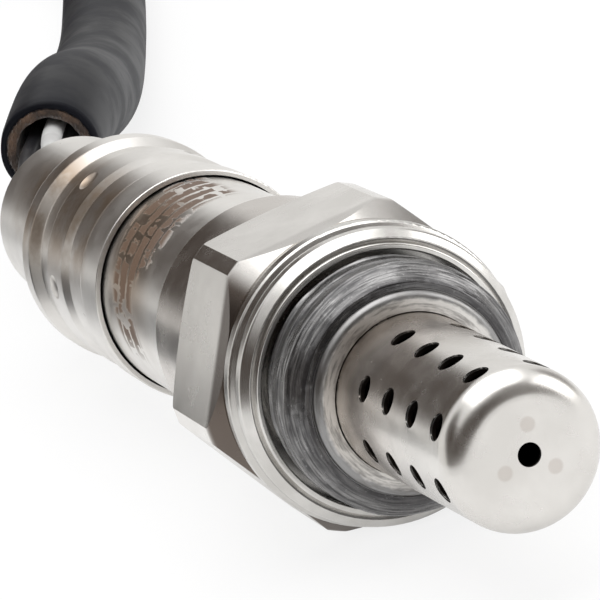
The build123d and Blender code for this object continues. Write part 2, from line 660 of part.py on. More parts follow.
def make_outer_contact():
    """Sprung clip round the thimble's rear end, with an arm, a foot and its lead."""
    back = ELEMENT_BACK_X + 0.5
    inner = ELEMENT_BACK_RADIUS + CLEARANCE
    arm_back = back - CONTACT_ARM_LENGTH
    arm_angle = EXIT_ANGLE + 180.0
    arm_radius = inner + CONTACT_SHEET
    clip = ring(back, back + CONTACT_CLIP_LENGTH, inner, inner + CONTACT_SHEET)
    slit = Pos(back + CONTACT_CLIP_LENGTH / 2, 0, -inner) * Box(
        CONTACT_CLIP_LENGTH + OVERCUT, CONTACT_CLIP_SLIT, 2.0
    )
    arm_y, arm_z = around(arm_radius + 0.1, arm_angle)
    arm = bar(CONTACT_SHEET, arm_back, back + 2.0, arm_y, arm_z) - bar(inner, back, back + 3.0)
    foot = spoke(CONTACT_SHEET + 0.05, arm_back, arm_angle, EXIT_SPREAD, arm_radius + 0.1)
    return (clip - slit) + arm + foot + lead_tab(arm_back, 2)


def make_heater_contact(index):
    """Spring finger on the heater's rear pad, with its lead."""
    angle = EXIT_ANGLE + 90.0 * index
    pad_radius = HEATER_RADIUS + CLEARANCE
    front = HEATER_BACK_X + HEATER_PAD_LENGTH
    finger = spoke(CONTACT_SHEET + 0.05, front - 2 * CONTACT_SHEET, angle, pad_radius - 0.1, EXIT_SPREAD)
    return (lead_tab(front, index) + finger) - bar(pad_radius, HEATER_BACK_X - OVERCUT, front + OVERCUT)


def make_terminal_insulator():
    """Ceramic separator with one passage for each wire terminal."""
    body = eased_ring(INSULATOR_BACK_X, INSULATOR_FRONT_X, INSULATOR_BORE_RADIUS, INSULATOR_RADIUS, 0.5)
    passage = FERRULE_RADIUS + FERRULE_GAP
    for y, z in wire_places(EXIT_SPREAD, EXIT_ANGLE):
        body -= bar(passage, INSULATOR_BACK_X - OVERCUT, INSULATOR_FRONT_X + OVERCUT, y, z)
    return body


def make_insulator_spring():
    """Split sheet ring that holds the insulator in the casing."""
    front = SLOPE_X - LIP_SLOPE - CLEARANCE
    back = front - SPRING_LENGTH
    spring = ring(back, front, SPRING_RADIUS - SPRING_SHEET, SPRING_RADIUS)
    slit_place = Pos((front + back) / 2, 0, SPRING_RADIUS)
    return spring - slit_place * Box(SPRING_LENGTH + OVERCUT, SPRING_SLIT, 2.0)


def make_ferrule(index):
    """Crimped wire terminal inside the insulator."""
    y, z = wire_places(EXIT_SPREAD, EXIT_ANGLE)[index]
    back = FERRULE_FRONT_X - FERRULE_LENGTH
    socket = bar(WIRE_RADIUS + WIRE_FIT, back - OVERCUT, WIRE_START_X + CLEARANCE, y, z)
    return bar(FERRULE_RADIUS, back, FERRULE_FRONT_X, y, z) - socket


def make_rubber_grommet():
    """Rubber seal, gripped by the dented neck, with four wire holes and a vent."""
    wide = CASING_RADIUS + GROOVE_STEP - SLEEVE_WALL - CLEARANCE
    narrow = NECK_RADIUS - SLEEVE_WALL - CLEARANCE
    bore = VENT_RADIUS + WIRE_FIT
    body = turned([
        (GROMMET_FRONT_X, bore),
        (GROMMET_FRONT_X, wide, 0.4),
        (SHOULDER_X, wide),
        (SHOULDER_X - GROMMET_TAPER, narrow),
        (NECK_BACK_X, narrow),
        (GROMMET_BACK_X, narrow - GROMMET_EDGE, 0.4),
        (GROMMET_BACK_X, bore),
    ])
    for y, z in wire_places(EXIT_SPREAD, EXIT_ANGLE):
        body -= bar(WIRE_RADIUS + WIRE_FIT, GROMMET_BACK_X - OVERCUT, GROMMET_FRONT_X + OVERCUT, y, z)
    return body


def make_vent_filter():
    """Porous plug in the grommet's middle hole."""
    return bar(VENT_RADIUS, GROMMET_BACK_X + VENT_INSET, GROMMET_FRONT_X - VENT_INSET)


# ---- the lead -----------------------------------------------------------------------------------
def corner_radii(points):
    """For each inner corner, a share of the shorter run over the tangent of half the turn."""
    radii = []
    for before, here, after in zip(points, points[1:], points[2:]):
        run_in = Vector(*here) - Vector(*before)
        run_out = Vector(*after) - Vector(*here)
        turn = math.radians(run_in.get_angle(run_out))
        radii.append(ARC_SHARE * min(run_in.length, run_out.length) / math.tan(turn / 2))
    return radii


def tube_along(points, radii, radius, bore=0.0):
    """A plain round tube along straight runs and tangent arcs."""
    path = FilletPolyline(*points, radius=radii)
    plane = Plane(origin=path @ 0, z_dir=path % 0)
    section = Circle(radius)
    if bore:
        section -= Circle(bore)
    return sweep(plane * section, path=path), path.length


def side_of(before, here, after):
    """Mitred sideways direction at a corner of the route, level with the ground."""
    ins = (Vector(*here) - Vector(*before)).normalized()
    outs = (Vector(*after) - Vector(*here)).normalized()
    middle = (ins + outs).normalized()
    side = middle.cross(Vector(0, 0, 1)).normalized()
    return side / max(0.5, middle.dot(ins))


def wire_route(index):
    """The centre line shifted sideways and up, so that four wires run as one bundle."""
    route = lead_route()
    last = len(route) - 1
    points = []
    for number, here in enumerate(route):
        before = route[max(number - 1, 0)]
        after = route[min(number + 1, last)]
        if number == 0:
            before = (here[0] + 1, here[1], here[2])
        if number == last:
            after = (here[0] + 1, here[1], here[2])
        near_end = number <= 1 or number >= last - 1
        spread = EXIT_SPREAD if near_end else BUNDLE_SPREAD
        angle = PLUG_ANGLE if number >= last - 1 else EXIT_ANGLE
        across, up = around(spread, angle + 90.0 * index)
        points.append(tuple(Vector(*here) + side_of(before, here, after) * across + Vector(0, 0, up)))
    return points


def make_wire(index):
    points = wire_route(index)
    return tube_along(points, corner_radii(points), WIRE_RADIUS)


def cover_route():
    """The part of the route that the wire sleeve covers."""
    route = lead_route()
    first = Vector(*route[1]) + (Vector(*route[2]) - Vector(*route[1])) * COVER_START_SHARE
    final = (Vector(*route[-4]) + Vector(*route[-3])) * 0.5
    return [tuple(first)] + route[2:-3] + [tuple(final)]


def cover_radii():
    """The same arcs as the whole route has at those corners."""
    return corner_radii(lead_route())[1:-2]


def make_wire_cover():
    return tube_along(cover_route(), cover_radii(), COVER_RADIUS, COVER_RADIUS - COVER_WALL)


def make_cover_lining():
    outer = COVER_RADIUS - COVER_WALL - WIRE_FIT
    return tube_along(cover_route(), cover_radii(), outer, outer - LINING_WALL)


# ---- the connector, which lies along X with its wires entering from behind ----------------------
def plug_box(width, height, x_back, x_front, edge):
    """A block about the connector's axis between two stations along X, its long edges rounded."""
    block = Pos((x_back + x_front) / 2, PLUG_Y, PLUG_Z) * Box(x_front - x_back, width, height)
    return fillet(block.edges().filter_by(Axis.X), edge)


def plug_pin_places():
    """Y and Z of the terminals, on the same square as the wires at the connector."""
    places = wire_places(EXIT_SPREAD, PLUG_ANGLE)
    return [(PLUG_Y - across, PLUG_Z + up) for across, up in places]


def make_connector_housing():
    """Moulded housing: a hood open towards +X, a web that holds the terminals and a seal pocket."""
    inner_width = PLUG_WIDTH - 2 * PLUG_WALL
    inner_height = PLUG_HEIGHT - 2 * PLUG_WALL
    body = plug_box(PLUG_WIDTH, PLUG_HEIGHT, PLUG_BACK_X, PLUG_MOUTH_X, PLUG_EDGE)
    body -= plug_box(inner_width, inner_height, HOOD_FLOOR_X, PLUG_MOUTH_X, HOOD_EDGE)
    body -= plug_box(inner_width, inner_height, PLUG_BACK_X, PLUG_BACK_X + POCKET_DEPTH, HOOD_EDGE)
    for y, z in plug_pin_places():
        body -= bar(WIRE_RADIUS + PASSAGE_STEP, PLUG_BACK_X, HOOD_FLOOR_X + OVERCUT, y, z)
    for side in (-1, 1):
        rib_place = Pos(PLUG_BACK_X + RIB_FROM_BACK, PLUG_Y + side * PLUG_WIDTH / 2, PLUG_Z)
        body += rib_place * Box(RIB_LENGTH, 2 * RIB_WIDTH, RIB_HEIGHT)
    width, length, height = RAMP_SIZE
    ramp_place = Pos(PLUG_MOUTH_X - RAMP_FROM_MOUTH, PLUG_Y, PLUG_Z + PLUG_HEIGHT / 2)
    return body + ramp_place * Box(length, width, 2 * height)


def make_wire_seal():
    """Rubber seal in the rear pocket of the connector."""
    width = PLUG_WIDTH - 2 * PLUG_WALL - 2 * CLEARANCE
    height = PLUG_HEIGHT - 2 * PLUG_WALL - 2 * CLEARANCE
    front = PLUG_BACK_X + SEAL_DEPTH
    seal = plug_box(width, height, PLUG_BACK_X + SEAL_INSET, front - SEAL_SEAT_GAP, HOOD_EDGE)
    for y, z in plug_pin_places():
        seal -= bar(WIRE_RADIUS + WIRE_FIT, PLUG_BACK_X - OVERCUT, front + OVERCUT, y, z)
    return seal


def make_connector_pin(index):
    """Terminal: a shank in the web and a pin in the hood."""
    y, z = plug_pin_places()[index]
    shank_back = PLUG_BACK_X + SEAL_DEPTH + 2 * CLEARANCE
    shank_front = HOOD_FLOOR_X - SHANK_INSET
    shank = bar(WIRE_RADIUS + SHANK_STEP, shank_back, shank_front, y, z)
    pin = bar(PIN_RADIUS, shank_front, HOOD_FLOOR_X + PIN_REACH, y, z)
    point = pin.edges().filter_by(GeomType.CIRCLE).sort_by(Axis.X)[-1]
    return shank + chamfer(point, PIN_POINT)


def make_terminal_lock():
    """Plate on the floor of the hood that locks the terminals."""
    width = PLUG_WIDTH - 2 * PLUG_WALL - 2 * LOCK_GAP
    height = PLUG_HEIGHT - 2 * PLUG_WALL - 2 * LOCK_GAP
    front = HOOD_FLOOR_X + LOCK_THICKNESS
    plate = plug_box(width, height, HOOD_FLOOR_X + CLEARANCE, front, LOCK_EDGE)
    for y, z in plug_pin_places():
        plate -= bar(PIN_RADIUS + LOCK_PIN_FIT, HOOD_FLOOR_X - OVERCUT, front + OVERCUT, y, z)
    return plate


# ---- build and write ----------------------------------------------------------------------------
def build_nodes():
    nodes = {
        "hex_shell": make_hex_shell(),
        "gasket_ring": make_gasket_ring(),
        "outer_protection_tube": make_outer_protection_tube(),
        "inner_protection_tube": make_inner_protection_tube(),
        "sensing_element": make_sensing_element(),
        "heater_rod": make_heater_rod(),
        "seat_washer": make_seat_washer(),
        "talc_ring": make_talc_ring(),
        "ceramic_bush": make_ceramic_bush(),
        "compression_ring": make_compression_ring(),
        "casing": make_casing(),
        "outer_sleeve": make_outer_sleeve(),
        "inner_contact": make_inner_contact(),
        "outer_contact": make_outer_contact(),
        "heater_contact_1": make_heater_contact(1),
        "heater_contact_2": make_heater_contact(3),
        "terminal_insulator": make_terminal_insulator(),
        "insulator_spring": make_insulator_spring(),
        "rubber_grommet": make_rubber_grommet(),
        "vent_filter": make_vent_filter(),
        "connector_housing": make_connector_housing(),
        "connector_seal": make_wire_seal(),
        "terminal_lock": make_terminal_lock(),
    }
    for index in range(4):
        nodes[f"ferrule_{index + 1}"] = make_ferrule(index)
        nodes[f"connector_pin_{index + 1}"] = make_connector_pin(index)
        nodes[f"wire_{index + 1}"], length = make_wire(index)
        radii = [round(radius) for radius in corner_radii(wire_route(index))]
        print(f"wire_{index + 1}: length {length:.1f}, radii {radii}")
    nodes["wire_cover"], length = make_wire_cover()
    nodes["cover_lining"], _ = make_cover_lining()
    section = math.pi * (COVER_RADIUS ** 2 - (COVER_RADIUS - COVER_WALL) ** 2)
    print(f"wire_cover: length {length:.1f}, radii {[round(radius) for radius in cover_radii()]}")
    print(f"  volume {nodes['wire_cover'].volume:.1f}, section x length {section * length:.1f}")
    return nodes


def main():
    os.makedirs("parts", exist_ok=True)
    for name, shape in build_nodes().items():
        export_step(shape, f"parts/{name}.step")


main()
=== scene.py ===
import json
import math

import bpy
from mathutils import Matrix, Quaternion, Vector, noise


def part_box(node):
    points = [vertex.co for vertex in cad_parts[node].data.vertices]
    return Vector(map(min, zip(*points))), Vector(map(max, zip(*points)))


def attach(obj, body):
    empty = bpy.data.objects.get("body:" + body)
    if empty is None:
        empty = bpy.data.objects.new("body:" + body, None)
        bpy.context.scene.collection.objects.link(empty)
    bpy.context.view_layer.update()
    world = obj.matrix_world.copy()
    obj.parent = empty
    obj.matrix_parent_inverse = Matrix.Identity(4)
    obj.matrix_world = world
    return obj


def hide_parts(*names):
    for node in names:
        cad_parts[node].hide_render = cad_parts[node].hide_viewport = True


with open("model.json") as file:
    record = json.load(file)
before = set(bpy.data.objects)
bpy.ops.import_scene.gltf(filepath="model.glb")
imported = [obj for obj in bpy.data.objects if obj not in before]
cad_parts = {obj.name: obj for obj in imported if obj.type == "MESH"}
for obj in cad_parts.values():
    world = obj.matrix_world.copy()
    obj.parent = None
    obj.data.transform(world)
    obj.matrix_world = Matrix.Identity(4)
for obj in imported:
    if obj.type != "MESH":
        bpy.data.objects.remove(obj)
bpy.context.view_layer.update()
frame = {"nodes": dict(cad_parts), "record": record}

# An oxygen sensor on a pale floor, with its sleeved lead. Metres, in the frame of the CAD model:
# +X along the sensor towards its tip, +Z up, origin at the gasket's sealing face.

MM = 0.001
NODES = frame["nodes"]


# ---- sizes, in metres, from the frame where it has them -----------------------------------------
FLOOR_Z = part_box("gasket_ring")[0].z
TUBE_RADIUS = 5.9 * MM
TUBE_TAPER = 0.22 * MM          # how much narrower the tube is at its tip, in radius
TUBE_TIP_ROUND = 2.0 * MM
TUBE_TIP_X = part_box("outer_protection_tube")[1].x
CASING_RADIUS = 8.8 * MM
THREAD_RADIUS = 9.0 * MM
THREAD_FRONT_X = 3.9 * MM
THREAD_NOSE_X = 5.0 * MM
CRIMP_LIP_RADIUS = 7.46 * MM
COVER_RADIUS = 4.7 * MM
COVER_MOUTH_RADIUS = 4.8 * MM
COVER_SWELLING = 0.45 * MM      # over the wires' first bend
COVER_SPREADS_OVER = 22.0 * MM  # how far behind its mouth the cover has its full radius
COVER_WALL = 0.65 * MM
LINING_WALL = 0.95 * MM
WIRE_RADIUS = 0.95 * MM
EXIT_SPREAD = 2.7 * MM          # radius of the wires' circle in the grommet
BUNDLE_SPREAD = 1.45 * MM
EXIT_ANGLE = 60.0               # first wire, from the side direction towards up
PLUG_ANGLE = 45.0               # and at the connector
WIRE_TURN = 90.0                # from one wire to the next
LEAD_Z = FLOOR_Z + COVER_RADIUS
PLUG_Z = sum(corner.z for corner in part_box("connector_seal")) / 2


# ---- small helpers ------------------------------------------------------------------------------
def around(radius, angle):
    """Y and Z of a point at an angle in degrees from +Y towards +Z."""
    return radius * math.cos(math.radians(angle)), radius * math.sin(math.radians(angle))


def smooth_step(value, low, high):
    """0 below low, 1 above high and a smooth rise between."""
    share = min(1.0, max(0.0, (value - low) / (high - low)))
    return share * share * (3 - 2 * share)


def ring_place(along, angle, reach):
    """A place for noise that joins up round a ring. A wider reach gives smaller lumps."""
    return Vector((along, reach * math.cos(angle), reach * math.sin(angle)))


def object_from(name, vertices, faces):
    """A mesh object in the scene, its faces shaded smooth."""
    mesh = bpy.data.meshes.new(name)
    mesh.from_pydata(vertices, [], faces)
    mesh.update()
    for polygon in mesh.polygons:
        polygon.use_smooth = True
    made = bpy.data.objects.new(name, mesh)
    bpy.context.scene.collection.objects.link(made)
    return made


def grid_faces(rows, columns, closed_rows, closed_columns):
    """Quads over a grid of vertices, numbered row by row."""
    faces = []
    for row in range(rows if closed_rows else rows - 1):
        for column in range(columns if closed_columns else columns - 1):
            next_row = (row + 1) % rows
            next_column = (column + 1) % columns
            faces.append((
                row * columns + column,
                row * columns + next_column,
                next_row * columns + next_column,
                next_row * columns + column,
            ))
    return faces


def ride(piece):
    """Each added piece rides on the one body."""
    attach(piece, "root")
    return piece


# ---- camera -------------------------------------------------------------------------------------
CAMERA_PLACE = Vector((297.95, -76.62, 94.96)) * MM
CAMERA_LOOK = Vector((-0.93476, 0.22826, -0.27226))
CAMERA_ROLL = -21.37
CAMERA_LENS = 270.0
CAMERA_SENSOR = 36.0


def add_camera():
    """A long lens, rolled so that the sensor runs across the frame."""
    data = bpy.data.cameras.new("camera")
    data.lens = CAMERA_LENS
    data.sensor_width = CAMERA_SENSOR
    data.clip_start = 0.01
    data.clip_end = 20.0
    camera = bpy.data.objects.new("camera", data)
    bpy.context.scene.collection.objects.link(camera)
    roll = Quaternion((0, 0, 1), math.radians(CAMERA_ROLL))
    camera.rotation_mode = "QUATERNION"
    camera.rotation_quaternion = CAMERA_LOOK.to_track_quat("-Z", "Y") @ roll
    camera.location = CAMERA_PLACE
    bpy.context.scene.camera = camera


# ---- nodes --------------------------------------------------------------------------------------
class Tree:
    """Short calls for building one node tree."""

    def __init__(self, tree):
        self.tree = tree
        self.object_place = None

    def add(self, kind, inputs=None, **settings):
        """A node whose inputs are given values or linked to sockets."""
        made = self.tree.nodes.new(kind)
        for key, value in settings.items():
            setattr(made, key, value)
        for key, value in (inputs or {}).items():
            if isinstance(value, bpy.types.NodeSocket):
                self.tree.links.new(value, made.inputs[key])
            else:
                made.inputs[key].default_value = value
        return made

    def place(self):
        """Object coordinates, in metres."""
        if self.object_place is None:
            self.object_place = self.add("ShaderNodeTexCoord").outputs["Object"]
        return self.object_place

    def stretched(self, scale):
        """Object coordinates scaled along each axis."""
        mapping = {"Vector": self.place(), "Scale": scale}
        return self.add("ShaderNodeMapping", mapping).outputs[0]

    def joined(self, x, y, z):
        """A vector from three numbers."""
        return self.add("ShaderNodeCombineXYZ", {"X": x, "Y": y, "Z": z}).outputs[0]

    def noise(self, scale, detail=2.0, rough=0.5, vector=None):
        """Noise from 0 to 1. The scale is in features per metre, or per unit of the vector."""
        values = {
            "Vector": vector or self.place(),
            "Scale": scale,
            "Detail": detail,
            "Roughness": rough,
        }
        return self.add("ShaderNodeTexNoise", values).outputs["Fac"]

    def math(self, operation, first, second=0.0):
        """One step of arithmetic."""
        return self.add("ShaderNodeMath", {0: first, 1: second}, operation=operation).outputs[0]

    def product(self, first, *others):
        """Values multiplied together."""
        for other in others:
            first = self.math("MULTIPLY", first, other)
        return first

    def total(self, first, *others):
        """Values added together."""
        for other in others:
            first = self.math("ADD", first, other)
        return first

    def swing(self, value, size):
        """A value from 0 to 1 as a shift of up to half the size either way."""
        return self.product(self.math("SUBTRACT", value, 0.5), size)

    def rise(self, value, low, high):
        """0 at low and 1 at high, smooth between. Falls if high is under low."""
        values = {"Value": value, "From Min": low, "From Max": high}
        made = self.add("ShaderNodeMapRange", values, interpolation_type="SMOOTHSTEP")
        return made.outputs["Result"]

    def between(self, value, start, low, high, end):
        """1 from low to high, and 0 before start and past end."""
        return self.product(self.rise(value, start, low), self.rise(value, end, high))

    def scaled(self, value, low, high):
        """A value from 0 to 1 spread over low to high."""
        values = {"Value": value, "To Min": low, "To Max": high}
        return self.add("ShaderNodeMapRange", values).outputs["Result"]

    def mix(self, share, first, second):
        """A colour between two colours."""
        made = self.add("ShaderNodeMix", data_type="RGBA")
        for key, value in ((0, share), (6, first), (7, second)):
            if isinstance(value, bpy.types.NodeSocket):
                self.tree.links.new(value, made.inputs[key])
            else:
                made.inputs[key].default_value = value if key == 0 else (*value, 1.0)
        return made.outputs[2]

    def parts(self):
        """X, Y and Z of the place."""
        return self.add("ShaderNodeSeparateXYZ", {0: self.place()}).outputs

    def length(self, first, second):
        """The long side of a right triangle."""
        squares = self.total(self.product(first, first), self.product(second, second))
        return self.math("SQRT", squares)

    def radius(self):
        """Distance from the sensor's axis."""
        parts = self.parts()
        return self.length(parts[1], parts[2])

    def arc(self, radius):
        """Length round the sensor's axis at a radius, from the top towards -Y."""
        parts = self.parts()
        turn = self.math("ARCTAN2", self.product(parts[1], -1.0), parts[2])
        return self.product(turn, radius)

    def near(self, point, reach, edge):
        """1 within reach of a point and 0 past an edge round it."""
        pair = {0: self.place(), 1: point}
        away = self.add("ShaderNodeVectorMath", pair, operation="DISTANCE").outputs["Value"]
        return self.rise(away, reach + edge, reach)

    def bump(self, height, distance, strength):
        """A normal from a height."""
        values = {"Height": height, "Distance": distance, "Strength": strength}
        return self.add("ShaderNodeBump", values).outputs[0]


def new_material(name, build, **constants):
    """A Principled material. build(tree) gives the sockets to link; constants go on the shader."""
    material = bpy.data.materials.new(name)
    material.use_nodes = True
    shader = material.node_tree.nodes["Principled BSDF"]
    for key, value in constants.items():
        shader.inputs[key.replace("_", " ")].default_value = value
    tree = Tree(material.node_tree)
    for key, socket in build(tree).items():
        material.node_tree.links.new(socket, shader.inputs[key.replace("_", " ")])
    return material


# ---- metals -------------------------------------------------------------------------------------
STEEL = (0.77, 0.75, 0.72)
STEEL_DARK = (0.68, 0.66, 0.63)
GRIME_AND_SHADE = (0.045, 0.035, 0.028)
SOOT_AND_SHADE = (0.020, 0.016, 0.013)
SCORCH = (0.088, 0.046, 0.024)
WELD_TINT = (0.46, 0.40, 0.36)
WARM_STEEL = (0.42, 0.335, 0.27)
CHAMFER_BROWN_AND_SHADE = (0.085, 0.062, 0.048)
COLLAR_BROWN = (0.27, 0.21, 0.17)
PASTE_EDGE = (0.20, 0.20, 0.205)
LIP_STREAK_AND_SHADE = (0.20, 0.19, 0.18)
HAZE_BROWN = (0.30, 0.20, 0.115)
BAND_BROWN_AND_SHADE = (0.27, 0.18, 0.105)
SLOPE_PAINTED_SHADE = (0.17, 0.135, 0.105)
SPECK_BROWN = (0.16, 0.11, 0.07)
PASTE_DARK = (0.080, 0.079, 0.080)
PASTE_LIGHT = (0.265, 0.260, 0.258)
THICK_PASTE_AND_SHADE = (0.05, 0.048, 0.05)
FLAKE_GREY = (0.5, 0.5, 0.5)
LOOSE_FIBRE = (0.45, 0.36, 0.28)

CREVICE_REACH = 1.1 * MM        # how near a wall has to be for grime and painted shade to gather
METAL_BUMP = 0.003 * MM
WELD_DOT_ANGLES = (72.8, 192.8, 312.8)
WELD_DOT_CIRCLE = 2.06 * MM
WELD_DOT_RADIUS = 0.42 * MM
WELD_DOT_EDGE = 0.22 * MM
MARK_ROW = 1.9 * MM             # from one row of heat marks to the next


def satin_metal(name, light, dark, rough, grain=0.5, rings=0.0, extra=None):
    """Plated or drawn steel: cloudy tint, fine grain, turned rings, and grime and painted shade in
    the crevices.
    """

    def build(tree):
        tint = tree.rise(tree.noise(170.0, 4.0, 0.6), 0.34, 0.68)
        colour = tree.mix(tint, dark, light)
        smear = tree.noise(480.0, 3.0, 0.55)
        roughness = tree.scaled(tree.rise(smear, 0.3, 0.7), rough - 0.02, rough + 0.03)
        height = tree.product(tree.noise(3600.0, 3.0, 0.6), grain)
        if rings:
            turned = tree.noise(1.0, 3.0, 0.7, vector=tree.stretched((9000.0, 30.0, 30.0)))
            height = tree.total(height, tree.product(turned, rings))
        # grime and painted shade: the colour darkens where walls close in, in crevices and holes
        reach = {"Distance": CREVICE_REACH}
        open_to = tree.add("ShaderNodeAmbientOcclusion", reach, samples=6).outputs["AO"]
        grime_and_shade = tree.product(tree.rise(open_to, 0.62, 0.12), tree.scaled(smear, 0.35, 1.0))
        sockets = {
            "Base_Color": tree.mix(grime_and_shade, colour, GRIME_AND_SHADE),
            "Roughness": roughness,
            "Normal": tree.bump(height, METAL_BUMP, 0.5),
        }
        if extra:
            sockets.update(extra(tree, sockets))
        return sockets

    return new_material(name, build, Metallic=1.0)


def depth_in_tube(tree):
    """How far a place lies inside the outer tube's tapered and rounded outline."""
    core_x = tree.math("SUBTRACT", tree.parts()[0], TUBE_TIP_X - TUBE_TIP_ROUND)
    past_base = tree.math("SUBTRACT", tree.parts()[0], THREAD_NOSE_X)
    narrowing = tree.product(past_base, TUBE_TAPER / (TUBE_TIP_X - THREAD_NOSE_X))
    core_radius = tree.math("SUBTRACT", tree.radius(), TUBE_RADIUS - TUBE_TIP_ROUND)
    core_radius = tree.total(core_radius, narrowing)
    past = (tree.math("MAXIMUM", core_x, 0.0), tree.math("MAXIMUM", core_radius, 0.0))
    corner = tree.length(*past)
    inside = tree.math("MINIMUM", tree.math("MAXIMUM", core_x, core_radius), 0.0)
    return tree.math("SUBTRACT", TUBE_TIP_ROUND, tree.total(corner, inside))


def tube_marks(tree, sockets):
    """Faint weld dots on the tube's tip, a warm base, and soot and painted shade on inward walls.
    """
    colour = sockets["Base_Color"]
    for angle in WELD_DOT_ANGLES:
        y, z = around(WELD_DOT_CIRCLE, angle)
        dot = tree.near((TUBE_TIP_X, y, z), WELD_DOT_RADIUS, WELD_DOT_EDGE)
        colour = tree.mix(tree.product(dot, 0.4), colour, WELD_TINT)
    base = tree.rise(tree.parts()[0], 22.0 * MM, 6.0 * MM)
    warm = tree.product(base, tree.scaled(tree.noise(300.0, 3.0, 0.6), 0.4, 0.8))
    colour = tree.mix(warm, colour, WARM_STEEL)
    # soot and painted shade darken every wall inside the tube's outline
    soot_and_shade = tree.rise(depth_in_tube(tree), 0.07 * MM, 0.2 * MM)
    colour = tree.mix(soot_and_shade, colour, SOOT_AND_SHADE)
    grey = tree.noise(900.0, 3.0, 0.6)
    dull = tree.product(soot_and_shade, tree.scaled(grey, 0.25, 0.5))
    return {"Base_Color": colour, "Roughness": tree.total(sockets["Roughness"], dull)}


def shell_tints(tree, sockets):
    """Brown tints on the hexagon's front chamfer and the collar, painted shade on the chamfer, and
    a streaky crimped lip with painted shade.
    """
    radius = tree.radius()
    x = tree.parts()[0]
    # the chamfer: brown tint and painted shade, darker towards -Y
    outer = tree.rise(radius, 10.5 * MM, 11.0 * MM)
    chamfer = tree.product(tree.rise(x, -6.6 * MM, -5.6 * MM), outer)
    sideways = tree.rise(tree.arc(1.0), 0.50, 0.64)
    browned_and_shaded = tree.product(chamfer, tree.scaled(sideways, 0.25, 0.93))
    colour = tree.mix(browned_and_shaded, sockets["Base_Color"], CHAMFER_BROWN_AND_SHADE)
    # the collar
    cloudy = tree.scaled(tree.noise(260.0, 4.0, 0.6), 0.45, 1.0)
    collar = tree.product(tree.rise(x, -15.0 * MM, -15.8 * MM), cloudy, 0.45)
    colour = tree.mix(collar, colour, COLLAR_BROWN)
    # the paste's ragged edge on the lip
    ragged = tree.total(radius, tree.swing(tree.noise(900.0, 3.0, 0.6), 0.7 * MM))
    lip = tree.product(tree.rise(x, 4.9 * MM, 5.0 * MM), tree.rise(ragged, 6.7 * MM, 7.0 * MM))
    colour = tree.mix(tree.product(lip, 0.8), colour, PASTE_EDGE)
    # streaks and painted shade round the lip
    rim = tree.product(tree.rise(x, 4.6 * MM, 4.9 * MM), tree.rise(radius, 8.0 * MM, 7.6 * MM))
    wiped = tree.joined(
        tree.product(tree.arc(CRIMP_LIP_RADIUS), 420.0),
        tree.product(radius, 3000.0),
        tree.product(x, 1500.0),
    )
    streaky = tree.rise(tree.noise(1.0, 4.0, 0.65, vector=wiped), 0.42, 0.68)
    colour = tree.mix(tree.product(rim, streaky, 0.75), colour, LIP_STREAK_AND_SHADE)
    rough = tree.total(sockets["Roughness"], tree.product(rim, 0.12))
    return {"Base_Color": colour, "Roughness": rough}


def casing_marks(tree, sockets):
    """Scorched dashes on the casing in broken rows that spell nothing, in a brown haze."""
    x = tree.parts()[0]
    arc = tree.arc(CASING_RADIUS)
    # the field slants towards the collar as it goes down the side, and narrows to a streak
    slant = tree.total(x, tree.product(arc, -0.28))
    front = tree.total(slant, tree.product(tree.rise(arc, 5.0 * MM, 9.5 * MM), 4.6 * MM))
    field = tree.product(
        tree.rise(slant, -43.4 * MM, -42.4 * MM),
        tree.rise(front, -32.6 * MM, -34.2 * MM),
        tree.between(arc, -3.6 * MM, -2.4 * MM, 12.8 * MM, 15.6 * MM),
    )
    haze = tree.product(
        tree.between(slant, -46.0 * MM, -42.0 * MM, -38.0 * MM, -32.0 * MM),
        tree.between(arc, -1.5 * MM, 3.0 * MM, 8.5 * MM, 15.0 * MM),
    )
    # rows across the axis, each broken into dashes of its own
    flat = tree.joined(x, arc, 0.0)
    wander = tree.swing(tree.noise(420.0, 2.0, 0.5, vector=flat), 1.1 * MM)
    across = tree.total(x, tree.product(arc, -0.12), wander)
    row = tree.math("FLOOR", tree.math("DIVIDE", across, MARK_ROW))
    along = tree.joined(tree.product(arc, 900.0), tree.product(row, 5.37), tree.product(x, 260.0))
    dash = tree.rise(tree.noise(1.0, 2.0, 0.6, vector=along), 0.415, 0.455)
    ragged = tree.swing(tree.noise(1500.0, 3.0, 0.6, vector=flat), 0.45 * MM)
    stripe = tree.total(tree.math("PINGPONG", across, MARK_ROW / 2), ragged)
    marks = tree.product(field, dash, tree.rise(stripe, 0.16 * MM, 0.25 * MM))
    colour = tree.mix(tree.product(haze, 0.75), sockets["Base_Color"], HAZE_BROWN)
    return {
        "Base_Color": tree.mix(tree.product(marks, 0.92), colour, SCORCH),
        "Roughness": tree.total(sockets["Roughness"], tree.product(marks, 0.48)),
        "Metallic": tree.math("SUBTRACT", 1.0, tree.product(marks, 0.85)),
    }


